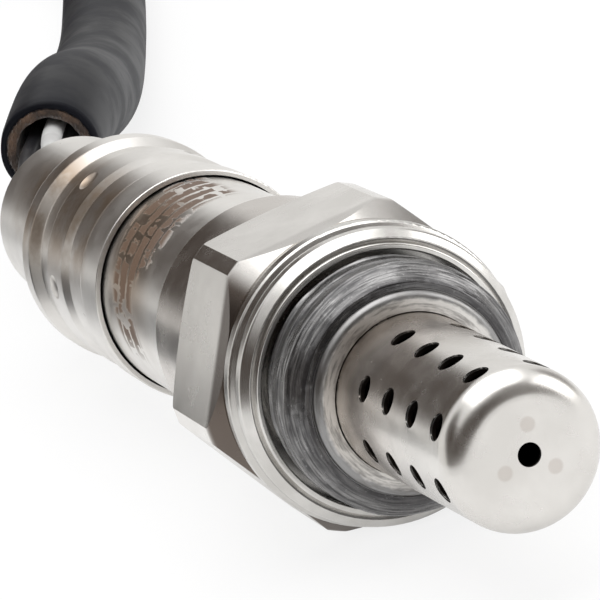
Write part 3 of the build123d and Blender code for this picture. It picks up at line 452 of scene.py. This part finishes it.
def sleeve_tints(tree, sockets):
    """Brown heat tint and painted shade on the sleeve, strongest above and towards -Y, painted
    shade on its forward slopes, and brown specks.
    """
    x = tree.parts()[0]
    arc = tree.arc(CASING_RADIUS)
    cloudy = tree.rise(tree.noise(240.0, 4.0, 0.6), 0.30, 0.62)
    # heat tint and painted shade, strongest above and towards -Y
    heat_tint_and_shade = tree.product(
        tree.between(arc, -1.0 * MM, 4.0 * MM, 7.0 * MM, 13.5 * MM),
        tree.between(x, -80.0 * MM, -71.0 * MM, -49.0 * MM, -45.5 * MM),
        tree.scaled(cloudy, 0.2, 0.85),
    )
    colour = tree.mix(heat_tint_and_shade, sockets["Base_Color"], BAND_BROWN_AND_SHADE)
    # painted shade: the two slopes that face forwards are darker on the -Y side
    slopes = tree.total(
        tree.between(x, -63.4 * MM, -62.6 * MM, -61.5 * MM, -60.9 * MM),
        tree.product(tree.between(x, -54.2 * MM, -53.6 * MM, -52.5 * MM, -51.9 * MM), 0.7),
    )
    side = tree.between(arc, 2.0 * MM, 6.5 * MM, 9.0 * MM, 16.0 * MM)
    shaded = tree.product(slopes, side, tree.scaled(cloudy, 0.5, 0.8))
    colour = tree.mix(shaded, colour, SLOPE_PAINTED_SHADE)
    specks = tree.rise(tree.noise(760.0, 2.0, 0.5), 0.735, 0.76)
    return {"Base_Color": tree.mix(tree.product(specks, 0.6), colour, SPECK_BROWN)}


def thread_paste():
    """Dark grey anti-seize paste, wiped round the thread: glossy, streaked, with bright flake."""

    def build(tree):
        x = tree.parts()[0]
        streaks = tree.joined(
            tree.product(x, 5200.0),
            tree.product(tree.arc(THREAD_RADIUS), 300.0),
            tree.product(tree.radius(), 5200.0),
        )
        wiped = tree.noise(1.0, 4.0, 0.62, vector=streaks)
        thick = tree.noise(260.0, 3.0, 0.55)
        flakes = tree.rise(tree.noise(4600.0, 2.0, 0.7), 0.62, 0.72)
        colour = tree.mix(tree.rise(wiped, 0.36, 0.66), PASTE_DARK, PASTE_LIGHT)
        colour = tree.mix(tree.product(tree.rise(thick, 0.5, 0.66), 0.45), colour, THICK_PASTE_AND_SHADE)
        # painted shade: the paste darkens towards the nose
        nose = tree.rise(x, THREAD_NOSE_X - 0.5 * MM, THREAD_NOSE_X)
        colour = tree.mix(tree.product(nose, 0.6), colour, THICK_PASTE_AND_SHADE)
        colour = tree.mix(tree.product(flakes, 0.25), colour, FLAKE_GREY)
        height = tree.total(wiped, tree.product(flakes, 0.15))
        return {
            "Base_Color": colour,
            "Roughness": tree.scaled(tree.rise(thick, 0.3, 0.7), 0.16, 0.34),
            "Normal": tree.bump(height, 0.05 * MM, 0.5),
        }

    return new_material("thread_paste", build, Metallic=0.85)


# ---- ceramics, rubbers and plastics -------------------------------------------------------------
def mottled(name, first, second, scale, rough, bump_scale, bump_height, **constants):
    """A matt material with soft patches of two colours and a fine surface."""

    def build(tree):
        patches = tree.rise(tree.noise(scale, 4.0, 0.6), 0.35, 0.65)
        fine = tree.noise(bump_scale, 3.0, 0.6)
        return {
            "Base_Color": tree.mix(patches, first, second),
            "Roughness": tree.scaled(patches, rough - 0.05, rough + 0.07),
            "Normal": tree.bump(fine, bump_height, 0.7),
        }

    return new_material(name, build, **constants)


def woven(name, light, dark, pitch):
    """Glass braid stained with resin: crossing strands and scorched patches."""

    def build(tree):
        parts = tree.parts()
        turns = 2 * math.pi / pitch
        along = tree.math("SINE", tree.product(tree.total(parts[0], parts[1]), turns))
        slanted = tree.math("SUBTRACT", parts[2], parts[1])
        across = tree.math("SINE", tree.product(slanted, turns))
        weave = tree.scaled(tree.product(along, across), 0.5, 1.0)
        fuzz = tree.noise(2600.0, 5.0, 0.7)
        stains = tree.rise(tree.noise(420.0, 4.0, 0.6), 0.38, 0.66)
        height = tree.total(weave, tree.product(fuzz, 0.8))
        colour = tree.mix(stains, dark, light)
        loose = tree.product(tree.rise(fuzz, 0.6, 0.8), 0.5)
        return {
            "Base_Color": tree.mix(loose, colour, LOOSE_FIBRE),
            "Normal": tree.bump(height, 0.16 * MM, 1.0),
        }

    return new_material(name, build, Roughness=0.9, Sheen_Weight=0.3)


# Light and dark colour, roughness, grain, turned rings and what else the metal shows.
METALS = {
    "shell_steel": (STEEL, STEEL_DARK, 0.25, 0.3, 0.1, shell_tints),
    "gasket_steel": ((0.70, 0.685, 0.66), (0.55, 0.535, 0.51), 0.24, 0.4),
    "tube_steel": ((0.72, 0.70, 0.67), (0.65, 0.63, 0.60), 0.25, 0.6, 0.0, tube_marks),
    "casing_steel": (STEEL, STEEL_DARK, 0.30, 0.4, 0.1, casing_marks),
    "sleeve_steel": (STEEL, STEEL_DARK, 0.31, 0.4, 0.1, sleeve_tints),
    "contact_nickel": ((0.70, 0.66, 0.58), (0.55, 0.50, 0.42), 0.28),
    "pin_metal": ((0.80, 0.77, 0.70), (0.66, 0.62, 0.54), 0.22),
}
# Two colours, scale of the patches, roughness, and scale and height of the fine surface.
MATT = {
    "zirconia": ((0.84, 0.82, 0.75), (0.72, 0.70, 0.64), 300.0, 0.5, 4000.0, 0.01 * MM),
    "alumina": ((0.88, 0.87, 0.83), (0.80, 0.78, 0.74), 250.0, 0.6, 3500.0, 0.01 * MM),
    "talc": ((0.78, 0.77, 0.72), (0.64, 0.62, 0.57), 900.0, 0.9, 3000.0, 0.05 * MM),
    "grommet_rubber": ((0.028, 0.028, 0.030), (0.05, 0.05, 0.052), 500.0, 0.6, 2500.0, 0.02 * MM),
    "membrane": ((0.82, 0.82, 0.80), (0.7, 0.7, 0.68), 900.0, 0.8, 6000.0, 0.01 * MM),
    "wire_white": ((0.60, 0.60, 0.59), (0.47, 0.465, 0.46), 240.0, 0.42, 2200.0, 0.01 * MM),
    "wire_black": ((0.012, 0.012, 0.014), (0.022, 0.022, 0.024), 240.0, 0.42, 2200.0, 0.01 * MM),
    "wire_grey": ((0.22, 0.22, 0.23), (0.17, 0.17, 0.18), 240.0, 0.42, 2200.0, 0.01 * MM),
    "cover_black": (
        (0.0050, 0.0053, 0.0075), (0.008, 0.0085, 0.012), 120.0, 0.44, 6000.0, 0.001 * MM,
    ),
    "connector_plastic": (
        (0.020, 0.020, 0.023), (0.032, 0.032, 0.036), 300.0, 0.5, 2600.0, 0.02 * MM,
    ),
    "seal_rubber": ((0.40, 0.10, 0.04), (0.32, 0.075, 0.03), 400.0, 0.55, 2500.0, 0.02 * MM),
    "lock_plastic": ((0.50, 0.50, 0.48), (0.42, 0.42, 0.40), 300.0, 0.45, 2600.0, 0.015 * MM),
}
COVER_SPECULAR = 0.08


def make_materials():
    """One finish for each material slot of the record."""
    made = {slot: satin_metal(slot, *values) for slot, values in METALS.items()}
    for slot, values in MATT.items():
        constants = {"Specular_IOR_Level": COVER_SPECULAR} if slot == "cover_black" else {}
        made[slot] = mottled(slot, *values, **constants)
    made["thread_paste"] = thread_paste()
    braid = woven("lining_brown", (0.105, 0.060, 0.036), (0.028, 0.016, 0.010), 0.9 * MM)
    made["lining_brown"] = braid
    return made


def dress(piece, material):
    """The piece's only material."""
    piece.data.materials.clear()
    piece.data.materials.append(material)


# ---- the lead -----------------------------------------------------------------------------------
# The corners of the lead's route, in mm. It starts inside the grommet, turns back in one wide bend
# whose corners are those of a polygon round a circle, and ends inside the connector.
LEAD_Z_MM = LEAD_Z / MM
PLUG_Y_MM = -41.5
PLUG_Z_MM = PLUG_Z / MM
ROUTE_START = (-72.0, 0.0, 0.0)
ROUTE_TO_BEND = [
    (-96.0, 0.0, 0.0),
    (-119.0, 10.6, 1.55),
    (-144.0, 18.7, -4.6),
    (-170.0, 27.3, LEAD_Z_MM),
    (-196.0, 35.5, LEAD_Z_MM),
]
BEND_CENTRE = (-232.0, -5.5)
BEND_RADIUS = 50.0
BEND_STEP = 30.0
BEND_FIRST_ANGLE = 90.0
BEND_CORNERS = 7
ROUTE_TO_PLUG = [
    (-199.0, -48.5, LEAD_Z_MM),
    (-167.0, -43.0, LEAD_Z_MM),
    (-141.0, PLUG_Y_MM, PLUG_Z_MM),
]
ROUTE_END = (-115.0, PLUG_Y_MM, PLUG_Z_MM)
COVER_START_SHARE = 0.47        # where the cover begins, along the first run after the grommet
COVER_STOP_SHARE = 0.5          # where it ends, along the run towards the connector
SPLINE_RESOLUTION = 96
WIRE_STEP = 1.2 * MM            # between the rings of a wire
COVER_STEP = 0.62 * MM          # and of the cover
TANGENT_REACH = 4               # steps on either side that a direction is taken over
WIRE_SEGMENTS = 20
COVER_SEGMENTS = 64
LINING_SEGMENTS = 80
GATHER_FROM_START = (14 * MM, 40 * MM)  # the wires close up between these, along the line
GATHER_FROM_END = (6 * MM, 40 * MM)     # and open out again between these, back from its end
# Behind its mouth the cover has all of its swelling before the second, and none past the first.
COVER_SWELLING_ENDS = (74 * MM, 30 * MM)
COVER_LIP_LENGTH = 1.2 * MM     # the mouth's softened edge
COVER_LIP_DROP = 0.12 * MM
COVER_WAVE = 24 * MM            # length of the tube's slight unevenness
COVER_UNEVEN = 0.06 * MM
LINING_GAP = 0.02 * MM
LINING_SQUARE_RINGS = 4         # the lining's first rings don't follow the mouth's soft edge
LINING_UNEVEN = 0.16 * MM
WEAVE_PITCH = 1.05              # turn of the weave from ring to ring, in radians
WEAVE_STRANDS = 9
WEAVE_HEIGHT = 0.05 * MM


def bend_corners():
    """Corners of the polygon whose sides touch the bend."""
    corner_radius = BEND_RADIUS / math.cos(math.radians(BEND_STEP / 2))
    corners = []
    for step in range(BEND_CORNERS):
        angle = math.radians(BEND_FIRST_ANGLE + BEND_STEP * step)
        x = BEND_CENTRE[0] + corner_radius * math.cos(angle)
        y = BEND_CENTRE[1] + corner_radius * math.sin(angle)
        corners.append((x, y, LEAD_Z_MM))
    return corners


def route_corners():
    """Every control point of the lead's centre line."""
    corners = [ROUTE_START] + ROUTE_TO_BEND + bend_corners() + ROUTE_TO_PLUG + [ROUTE_END]
    return [Vector(corner) * MM for corner in corners]


def centre_line(step):
    """Points read from the NURBS spline of the route, a step apart."""
    curve = bpy.data.curves.new("lead_route", "CURVE")
    curve.dimensions = "3D"
    spline = curve.splines.new("NURBS")
    corners = route_corners()
    spline.points.add(len(corners) - 1)
    for point, corner in zip(spline.points, corners):
        point.co = (*corner, 1.0)
    spline.order_u = 3
    spline.use_endpoint_u = True
    spline.resolution_u = SPLINE_RESOLUTION
    holder = bpy.data.objects.new("lead_route", curve)
    mesh = bpy.data.meshes.new_from_object(holder)
    raw = [vertex.co.copy() for vertex in mesh.vertices]
    bpy.data.objects.remove(holder)
    bpy.data.curves.remove(curve)
    bpy.data.meshes.remove(mesh)
    return evenly(raw, step)


def evenly(points, step):
    """The same line with points an even step apart."""
    lengths = [0.0]
    for first, second in zip(points, points[1:]):
        lengths.append(lengths[-1] + (second - first).length)
    count = max(2, round(lengths[-1] / step))
    made = []
    index = 0
    for number in range(count + 1):
        target = lengths[-1] * number / count
        while index < len(points) - 2 and lengths[index + 1] < target:
            index += 1
        span = lengths[index + 1] - lengths[index]
        share = (target - lengths[index]) / span if span else 0.0
        made.append(points[index].lerp(points[index + 1], min(1.0, share)))
    return made


def line_length(points):
    """The sum of a line's steps."""
    return sum((second - first).length for first, second in zip(points, points[1:]))


def tangents(points):
    """The direction at each point of a line, over a few steps either way."""
    last = len(points) - 1
    made = []
    for number in range(last + 1):
        ahead = points[min(number + TANGENT_REACH, last)]
        behind = points[max(number - TANGENT_REACH, 0)]
        made.append((ahead - behind).normalized())
    return made


def level_side(tangent):
    """The sideways direction that is level with the ground."""
    return tangent.cross(Vector((0, 0, 1))).normalized()


def section_frames(points):
    """For each point, its place and two directions across the line."""
    frames = []
    for point, tangent in zip(points, tangents(points)):
        side = level_side(tangent)
        frames.append((point, side, side.cross(tangent).normalized()))
    return frames


def tube_mesh(points, section, segments):
    """Rings of vertices along a line. section gives a radius for a ring's number and an angle."""
    frames = section_frames(points)
    vertices = []
    for index, (point, side, up) in enumerate(frames):
        for corner in range(segments):
            angle = 2 * math.pi * corner / segments
            reach = section(index, angle)
            across = side * (reach * math.cos(angle)) + up * (reach * math.sin(angle))
            vertices.append(point + across)
    return vertices, grid_faces(len(frames), segments, False, True)


def hollow_tube(name, points, outer, inner, segments):
    """A tube with a wall and a flat rim at each end. outer and inner are sections."""
    outer_vertices, faces = tube_mesh(points, outer, segments)
    inner_vertices, _ = tube_mesh(points, inner, segments)
    offset = len(outer_vertices)
    faces = [tuple(reversed(face)) for face in faces]
    faces += [tuple(vertex + offset for vertex in reversed(face)) for face in faces]
    for ring, flip in ((0, False), (len(points) - 1, True)):
        for corner in range(segments):
            here = ring * segments + corner
            beside = ring * segments + (corner + 1) % segments
            quad = (here, beside, beside + offset, here + offset)
            faces.append(tuple(reversed(quad)) if flip else quad)
    return object_from(name, outer_vertices + inner_vertices, faces)


def solid_tube(name, points, radius, segments):
    """A round bar along a line, with a flat face at each end."""
    vertices, faces = tube_mesh(points, lambda index, angle: radius, segments)
    faces = [tuple(reversed(face)) for face in faces]
    for ring, flip in ((0, False), (len(points) - 1, True)):
        loop = [ring * segments + corner for corner in range(segments)]
        faces.append(tuple(reversed(loop)) if flip else tuple(loop))
    return object_from(name, vertices, faces)


def wire_line(line, index):
    """One wire's own line beside the lead's centre line."""
    total = len(line) - 1
    step = line_length(line) / total
    made = []
    for number, (point, tangent) in enumerate(zip(line, tangents(line))):
        done = number * step
        left = (total - number) * step
        from_start = smooth_step(done, *GATHER_FROM_START)
        from_end = smooth_step(left, *GATHER_FROM_END)
        spread = EXIT_SPREAD + (BUNDLE_SPREAD - EXIT_SPREAD) * min(from_start, from_end)
        angle = PLUG_ANGLE + (EXIT_ANGLE - PLUG_ANGLE) * from_end
        across, up = around(spread, angle + WIRE_TURN * index)
        made.append(point + level_side(tangent) * across + Vector((0, 0, up)))
    return made


def add_wires(line, materials):
    """Four insulated wires from the grommet to the connector."""
    slots = ("wire_white", "wire_black", "wire_white", "wire_grey")
    for index, slot in enumerate(slots):
        points = wire_line(line, index)
        wire = solid_tube(f"lead_wire_{index + 1}", points, WIRE_RADIUS, WIRE_SEGMENTS)
        dress(wire, materials[slot])
        ride(wire)
        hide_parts(f"wire_{index + 1}")


def cover_line(line):
    """The part of the lead's line that the wire sleeve covers."""
    far_end = Vector(ROUTE_TO_PLUG[0]).lerp(Vector(ROUTE_TO_PLUG[1]), COVER_STOP_SHARE) * MM
    near_end = Vector(ROUTE_TO_BEND[0]).lerp(Vector(ROUTE_TO_BEND[1]), COVER_START_SHARE) * MM
    ends = []
    for end in (near_end, far_end):
        ends.append(min(range(len(line)), key=lambda n: (line[n] - end).length))
    return line[ends[0]:ends[1] + 1]


def add_cover(line, materials):
    """The smooth black tube over the wires, and its rough woven lining."""
    points = cover_line(line)
    step = line_length(points) / (len(points) - 1)

    def outer_radius(index, angle):
        along = index * step
        grown = smooth_step(along, 0.0, COVER_SPREADS_OVER)
        swollen = grown * smooth_step(along, *COVER_SWELLING_ENDS)
        lip = smooth_step(along, COVER_LIP_LENGTH, 0.0)
        place = ring_place(along / COVER_WAVE, angle, 0.6)
        radius = COVER_MOUTH_RADIUS + (COVER_RADIUS - COVER_MOUTH_RADIUS) * grown
        radius += swollen * COVER_SWELLING - lip * COVER_LIP_DROP
        return radius + noise.noise(place) * COVER_UNEVEN

    def cover_bore(index, angle):
        return outer_radius(index, angle) - COVER_WALL

    def lining_outer(index, angle):
        return outer_radius(max(index, LINING_SQUARE_RINGS), angle) - COVER_WALL - LINING_GAP

    def lining_inner(index, angle):
        place = ring_place(index * 0.45, angle, 2.2)
        climb = index * WEAVE_PITCH
        weave = math.sin(climb + angle * WEAVE_STRANDS) * math.sin(climb - angle * WEAVE_STRANDS)
        rough = WEAVE_HEIGHT * weave + LINING_UNEVEN * noise.noise(place)
        return lining_outer(index, angle) - LINING_WALL - rough

    cover = hollow_tube("lead_cover", points, outer_radius, cover_bore, COVER_SEGMENTS)
    lining = hollow_tube("lead_lining", points, lining_outer, lining_inner, LINING_SEGMENTS)
    for piece, slot, node, radius in (
        (cover, "cover_black", "wire_cover", COVER_RADIUS),
        (lining, "lining_brown", "cover_lining", COVER_RADIUS - COVER_WALL),
    ):
        dress(piece, materials[slot])
        ride(piece)
        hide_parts(node)


# ---- thread with its paste ----------------------------------------------------------------------
THREAD_PITCH = 1.5 * MM
THREAD_CREST_X = 2.24 * MM      # where a crest passes the angle below
THREAD_CREST_ANGLE = math.radians(155.0)
PASTE_FLOOR = 0.03 * MM         # least cover of paste over the metal
PASTE_RIDGE = 0.20 * MM         # how far the crests still stand out of it
PASTE_LUMPS = 0.07 * MM
COAT_SINK = 0.35 * MM           # how far the coat's hidden back lies inside the metal
COAT_COLUMNS = 420
SHANK_STEPS = 65
CHAMFER_STEPS = 14
FACE_STEPS = 8
CREST_SHARPNESS = 5
CREST_WEAR = 0.45               # wiping takes up to twice this share of a crest's height
PASTE_START = 0.4 * MM          # the paste thins out over this, next to the gasket
CREST_END = 0.5 * MM            # the crests fade out over this, past the thread's front


def coat_profile():
    """Stations of the coat: (x, radius, outward x, outward radius) along thread, nose and face."""
    slope = math.sqrt(0.5)
    stations = []
    for step in range(SHANK_STEPS + 1):
        stations.append((THREAD_FRONT_X * step / SHANK_STEPS, THREAD_RADIUS, 0.0, 1.0))
    for step in range(1, CHAMFER_STEPS):
        reach = step / CHAMFER_STEPS * (THREAD_NOSE_X - THREAD_FRONT_X)
        stations.append((THREAD_FRONT_X + reach, THREAD_RADIUS - reach, slope, slope))
    nose_radius = THREAD_RADIUS - (THREAD_NOSE_X - THREAD_FRONT_X)
    for step in range(FACE_STEPS + 1):
        share = step / FACE_STEPS
        radius = nose_radius + (CRIMP_LIP_RADIUS - nose_radius) * share
        stations.append((THREAD_NOSE_X, radius, 1.0, 0.25 * (1 - share)))
    return stations


def paste_height(x, angle):
    """How far the paste's surface stands out of the plain shank."""
    turns = (angle - THREAD_CREST_ANGLE) / (2 * math.pi)
    phase = (x - THREAD_CREST_X) / THREAD_PITCH - turns
    crest = (0.5 + 0.5 * math.cos(2 * math.pi * phase)) ** CREST_SHARPNESS
    wiped = 1 - CREST_WEAR + CREST_WEAR * noise.noise(ring_place(x / MM * 0.5, angle, 3))
    lumps = noise.fractal(ring_place(x / MM * 1.5, angle, 3.2), 0.7, 2.1, 4)
    start = smooth_step(x, 0.0, PASTE_START)
    nose = smooth_step(x, THREAD_FRONT_X + CREST_END, THREAD_FRONT_X)
    ridge = PASTE_RIDGE * crest * nose * wiped
    return PASTE_FLOOR + start * (ridge + PASTE_LUMPS * max(0.0, 0.35 + 0.65 * lumps))


def add_thread(materials):
    """A coat over the threaded shank and its nose: low helical crests in a smear of paste."""
    stations = coat_profile()
    back = [
        (THREAD_NOSE_X - COAT_SINK, CRIMP_LIP_RADIUS),
        (THREAD_FRONT_X - COAT_SINK, THREAD_RADIUS - 2 * COAT_SINK),
        (COAT_SINK, THREAD_RADIUS - 2 * COAT_SINK),
    ]
    vertices = []
    for column in range(COAT_COLUMNS):
        angle = 2 * math.pi * column / COAT_COLUMNS
        y, z = math.cos(angle), math.sin(angle)
        for x, radius, out_x, out_radius in stations:
            height = paste_height(x, angle)
            reach = radius + height * out_radius
            vertices.append((x + height * out_x, reach * y, reach * z))
        for x, radius in back:
            vertices.append((x, radius * y, radius * z))
    faces = grid_faces(COAT_COLUMNS, len(stations) + len(back), True, True)
    coat = object_from("thread_paste", vertices, faces)
    dress(coat, materials["thread_paste"])
    return ride(coat)


# ---- floor, lamps and world ---------------------------------------------------------------------
FLOOR_REACH = 3.0
FLOOR_GAP = 0.02 * MM           # under the part
FLOOR_LIT = 0.82                # share of plain white that the camera sees in the floor
FLOOR_MIRRORED = 0.45           # and that shiny metal sees


def add_floor():
    """A pale floor that shows white to the camera and keeps a soft shadow."""
    z = FLOOR_Z - FLOOR_GAP
    sides = ((-1, -1), (1, -1), (1, 1), (-1, 1))
    corners = [(FLOOR_REACH * x, FLOOR_REACH * y, z) for x, y in sides]
    floor = object_from("floor", corners, [(0, 1, 2, 3)])

    def build(tree):
        cloud = tree.rise(tree.noise(3.0), 0.3, 0.7)
        return {"Base_Color": tree.mix(cloud, (0.90, 0.90, 0.90), (0.92, 0.92, 0.92))}

    material = new_material("pale_floor", build, Roughness=0.9)
    tree = Tree(material.node_tree)
    glow = tree.add("ShaderNodeEmission", {"Color": WHITE, "Strength": 1.0})
    seen = tree.add("ShaderNodeLightPath").outputs
    lit = tree.product(seen["Is Camera Ray"], FLOOR_LIT)
    shown = tree.math("MAXIMUM", lit, tree.product(seen["Is Glossy Ray"], FLOOR_MIRRORED))
    shader = material.node_tree.nodes["Principled BSDF"]
    blend = tree.add("ShaderNodeMixShader", {0: shown, 1: shader.outputs[0], 2: glow.outputs[0]})
    output = material.node_tree.nodes["Material Output"]
    material.node_tree.links.new(blend.outputs[0], output.inputs["Surface"])
    dress(floor, material)


def add_lamp(name, place, aim, size, watts, mirrored=True):
    """A soft box. Shiny metal shows it only if it is mirrored."""
    data = bpy.data.lights.new(name, "AREA")
    data.shape = "RECTANGLE"
    data.size, data.size_y = size
    data.energy = watts
    lamp = bpy.data.objects.new(name, data)
    lamp.location = place
    lamp.rotation_mode = "QUATERNION"
    lamp.rotation_quaternion = (Vector(aim) - Vector(place)).to_track_quat("-Z", "Y")
    lamp.visible_glossy = mirrored
    bpy.context.scene.collection.objects.link(lamp)


def add_lamps():
    """Soft boxes above, behind and to both sides."""
    add_lamp("top_box", (0.0, 0.10, 0.75), (0, 0, 0), (1.1, 0.8), 5.0)
    add_lamp("left_box", (-0.10, -0.80, 0.34), (0, 0, 0), (0.7, 0.45), 2.4, mirrored=False)
    add_lamp("right_box", (0.25, 0.80, 0.30), (0, 0, 0), (0.7, 0.5), 2.2)


# The studio that shiny surfaces see: pale, with dark zones in it. A zone has a direction, its reach
# and its edge in degrees, and its depth.
STUDIO_LOW = (0.88, 0.87, 0.85)
STUDIO_HIGH = (0.95, 0.95, 0.95)
STUDIO_DARK = (0.042, 0.026, 0.017)
STUDIO_FILL = (0.62, 0.62, 0.62, 1)     # what matt surfaces are lit by
WHITE = (1, 1, 1, 1)
STUDIO_ZONES = (
    ((-0.935, -0.135, 0.334), 14.0, 8.0, 0.99),
    ((0.85, -0.45, 0.16), 28.0, 18.0, 0.95),
    ((0.80, 0.40, 0.40), 18.0, 24.0, 0.75),
    ((0.15, -0.88, 0.30), 16.0, 14.0, 0.92),
    ((-0.35, 0.90, 0.30), 8.0, 14.0, 0.65),
    ((-0.17, -0.79, 0.59), 14.0, 10.0, 0.88),
)


def add_world():
    """White to the camera. Shiny surfaces see that white too, past a few dark flags."""
    world = bpy.data.worlds.new("studio")
    world.use_nodes = True
    bpy.context.scene.world = world
    tree = Tree(world.node_tree)
    world.node_tree.nodes.clear()
    direction = tree.add("ShaderNodeTexCoord").outputs["Generated"]
    parts = tree.add("ShaderNodeSeparateXYZ", {0: direction}).outputs
    above = tree.rise(parts[2], -0.1, 0.8)
    shiny = tree.mix(above, STUDIO_LOW, STUDIO_HIGH)
    for towards, reach, edge, depth in STUDIO_ZONES:
        pair = {0: direction, 1: Vector(towards).normalized()}
        along = tree.add("ShaderNodeVectorMath", pair, operation="DOT_PRODUCT").outputs["Value"]
        outer, inner = (math.cos(math.radians(angle)) for angle in (reach + edge, reach))
        near = tree.rise(along, outer, inner)
        shiny = tree.mix(tree.product(near, depth), shiny, STUDIO_DARK)
    seen = tree.add("ShaderNodeLightPath").outputs
    soft = tree.add("ShaderNodeBackground", {"Color": STUDIO_FILL, "Strength": 1.0})
    studio = tree.add("ShaderNodeBackground", {"Color": shiny, "Strength": 1.0})
    white = tree.add("ShaderNodeBackground", {"Color": WHITE, "Strength": 1.0})
    lights = {0: seen["Is Glossy Ray"], 1: soft.outputs[0], 2: studio.outputs[0]}
    blend = tree.add("ShaderNodeMixShader", lights)
    clear = tree.math("MAXIMUM", seen["Is Camera Ray"], seen["Is Transmission Ray"])
    blend = tree.add("ShaderNodeMixShader", {0: clear, 1: blend.outputs[0], 2: white.outputs[0]})
    output = tree.add("ShaderNodeOutputWorld")
    world.node_tree.links.new(blend.outputs[0], output.inputs["Surface"])


# ---- put together -------------------------------------------------------------------------------
def dress_nodes(materials):
    """Every CAD node takes the finish of its slot."""
    for part in frame["record"]["subparts"]:
        dress(NODES[part["node"]], materials[part["material_slot"]])


def main():
    bpy.context.scene.view_settings.view_transform = "Standard"
    add_camera()
    add_floor()
    add_lamps()
    add_world()
    materials = make_materials()
    dress_nodes(materials)
    line = centre_line(WIRE_STEP)
    add_wires(line, materials)
    add_cover(centre_line(COVER_STEP), materials)
    add_thread(materials)


main()
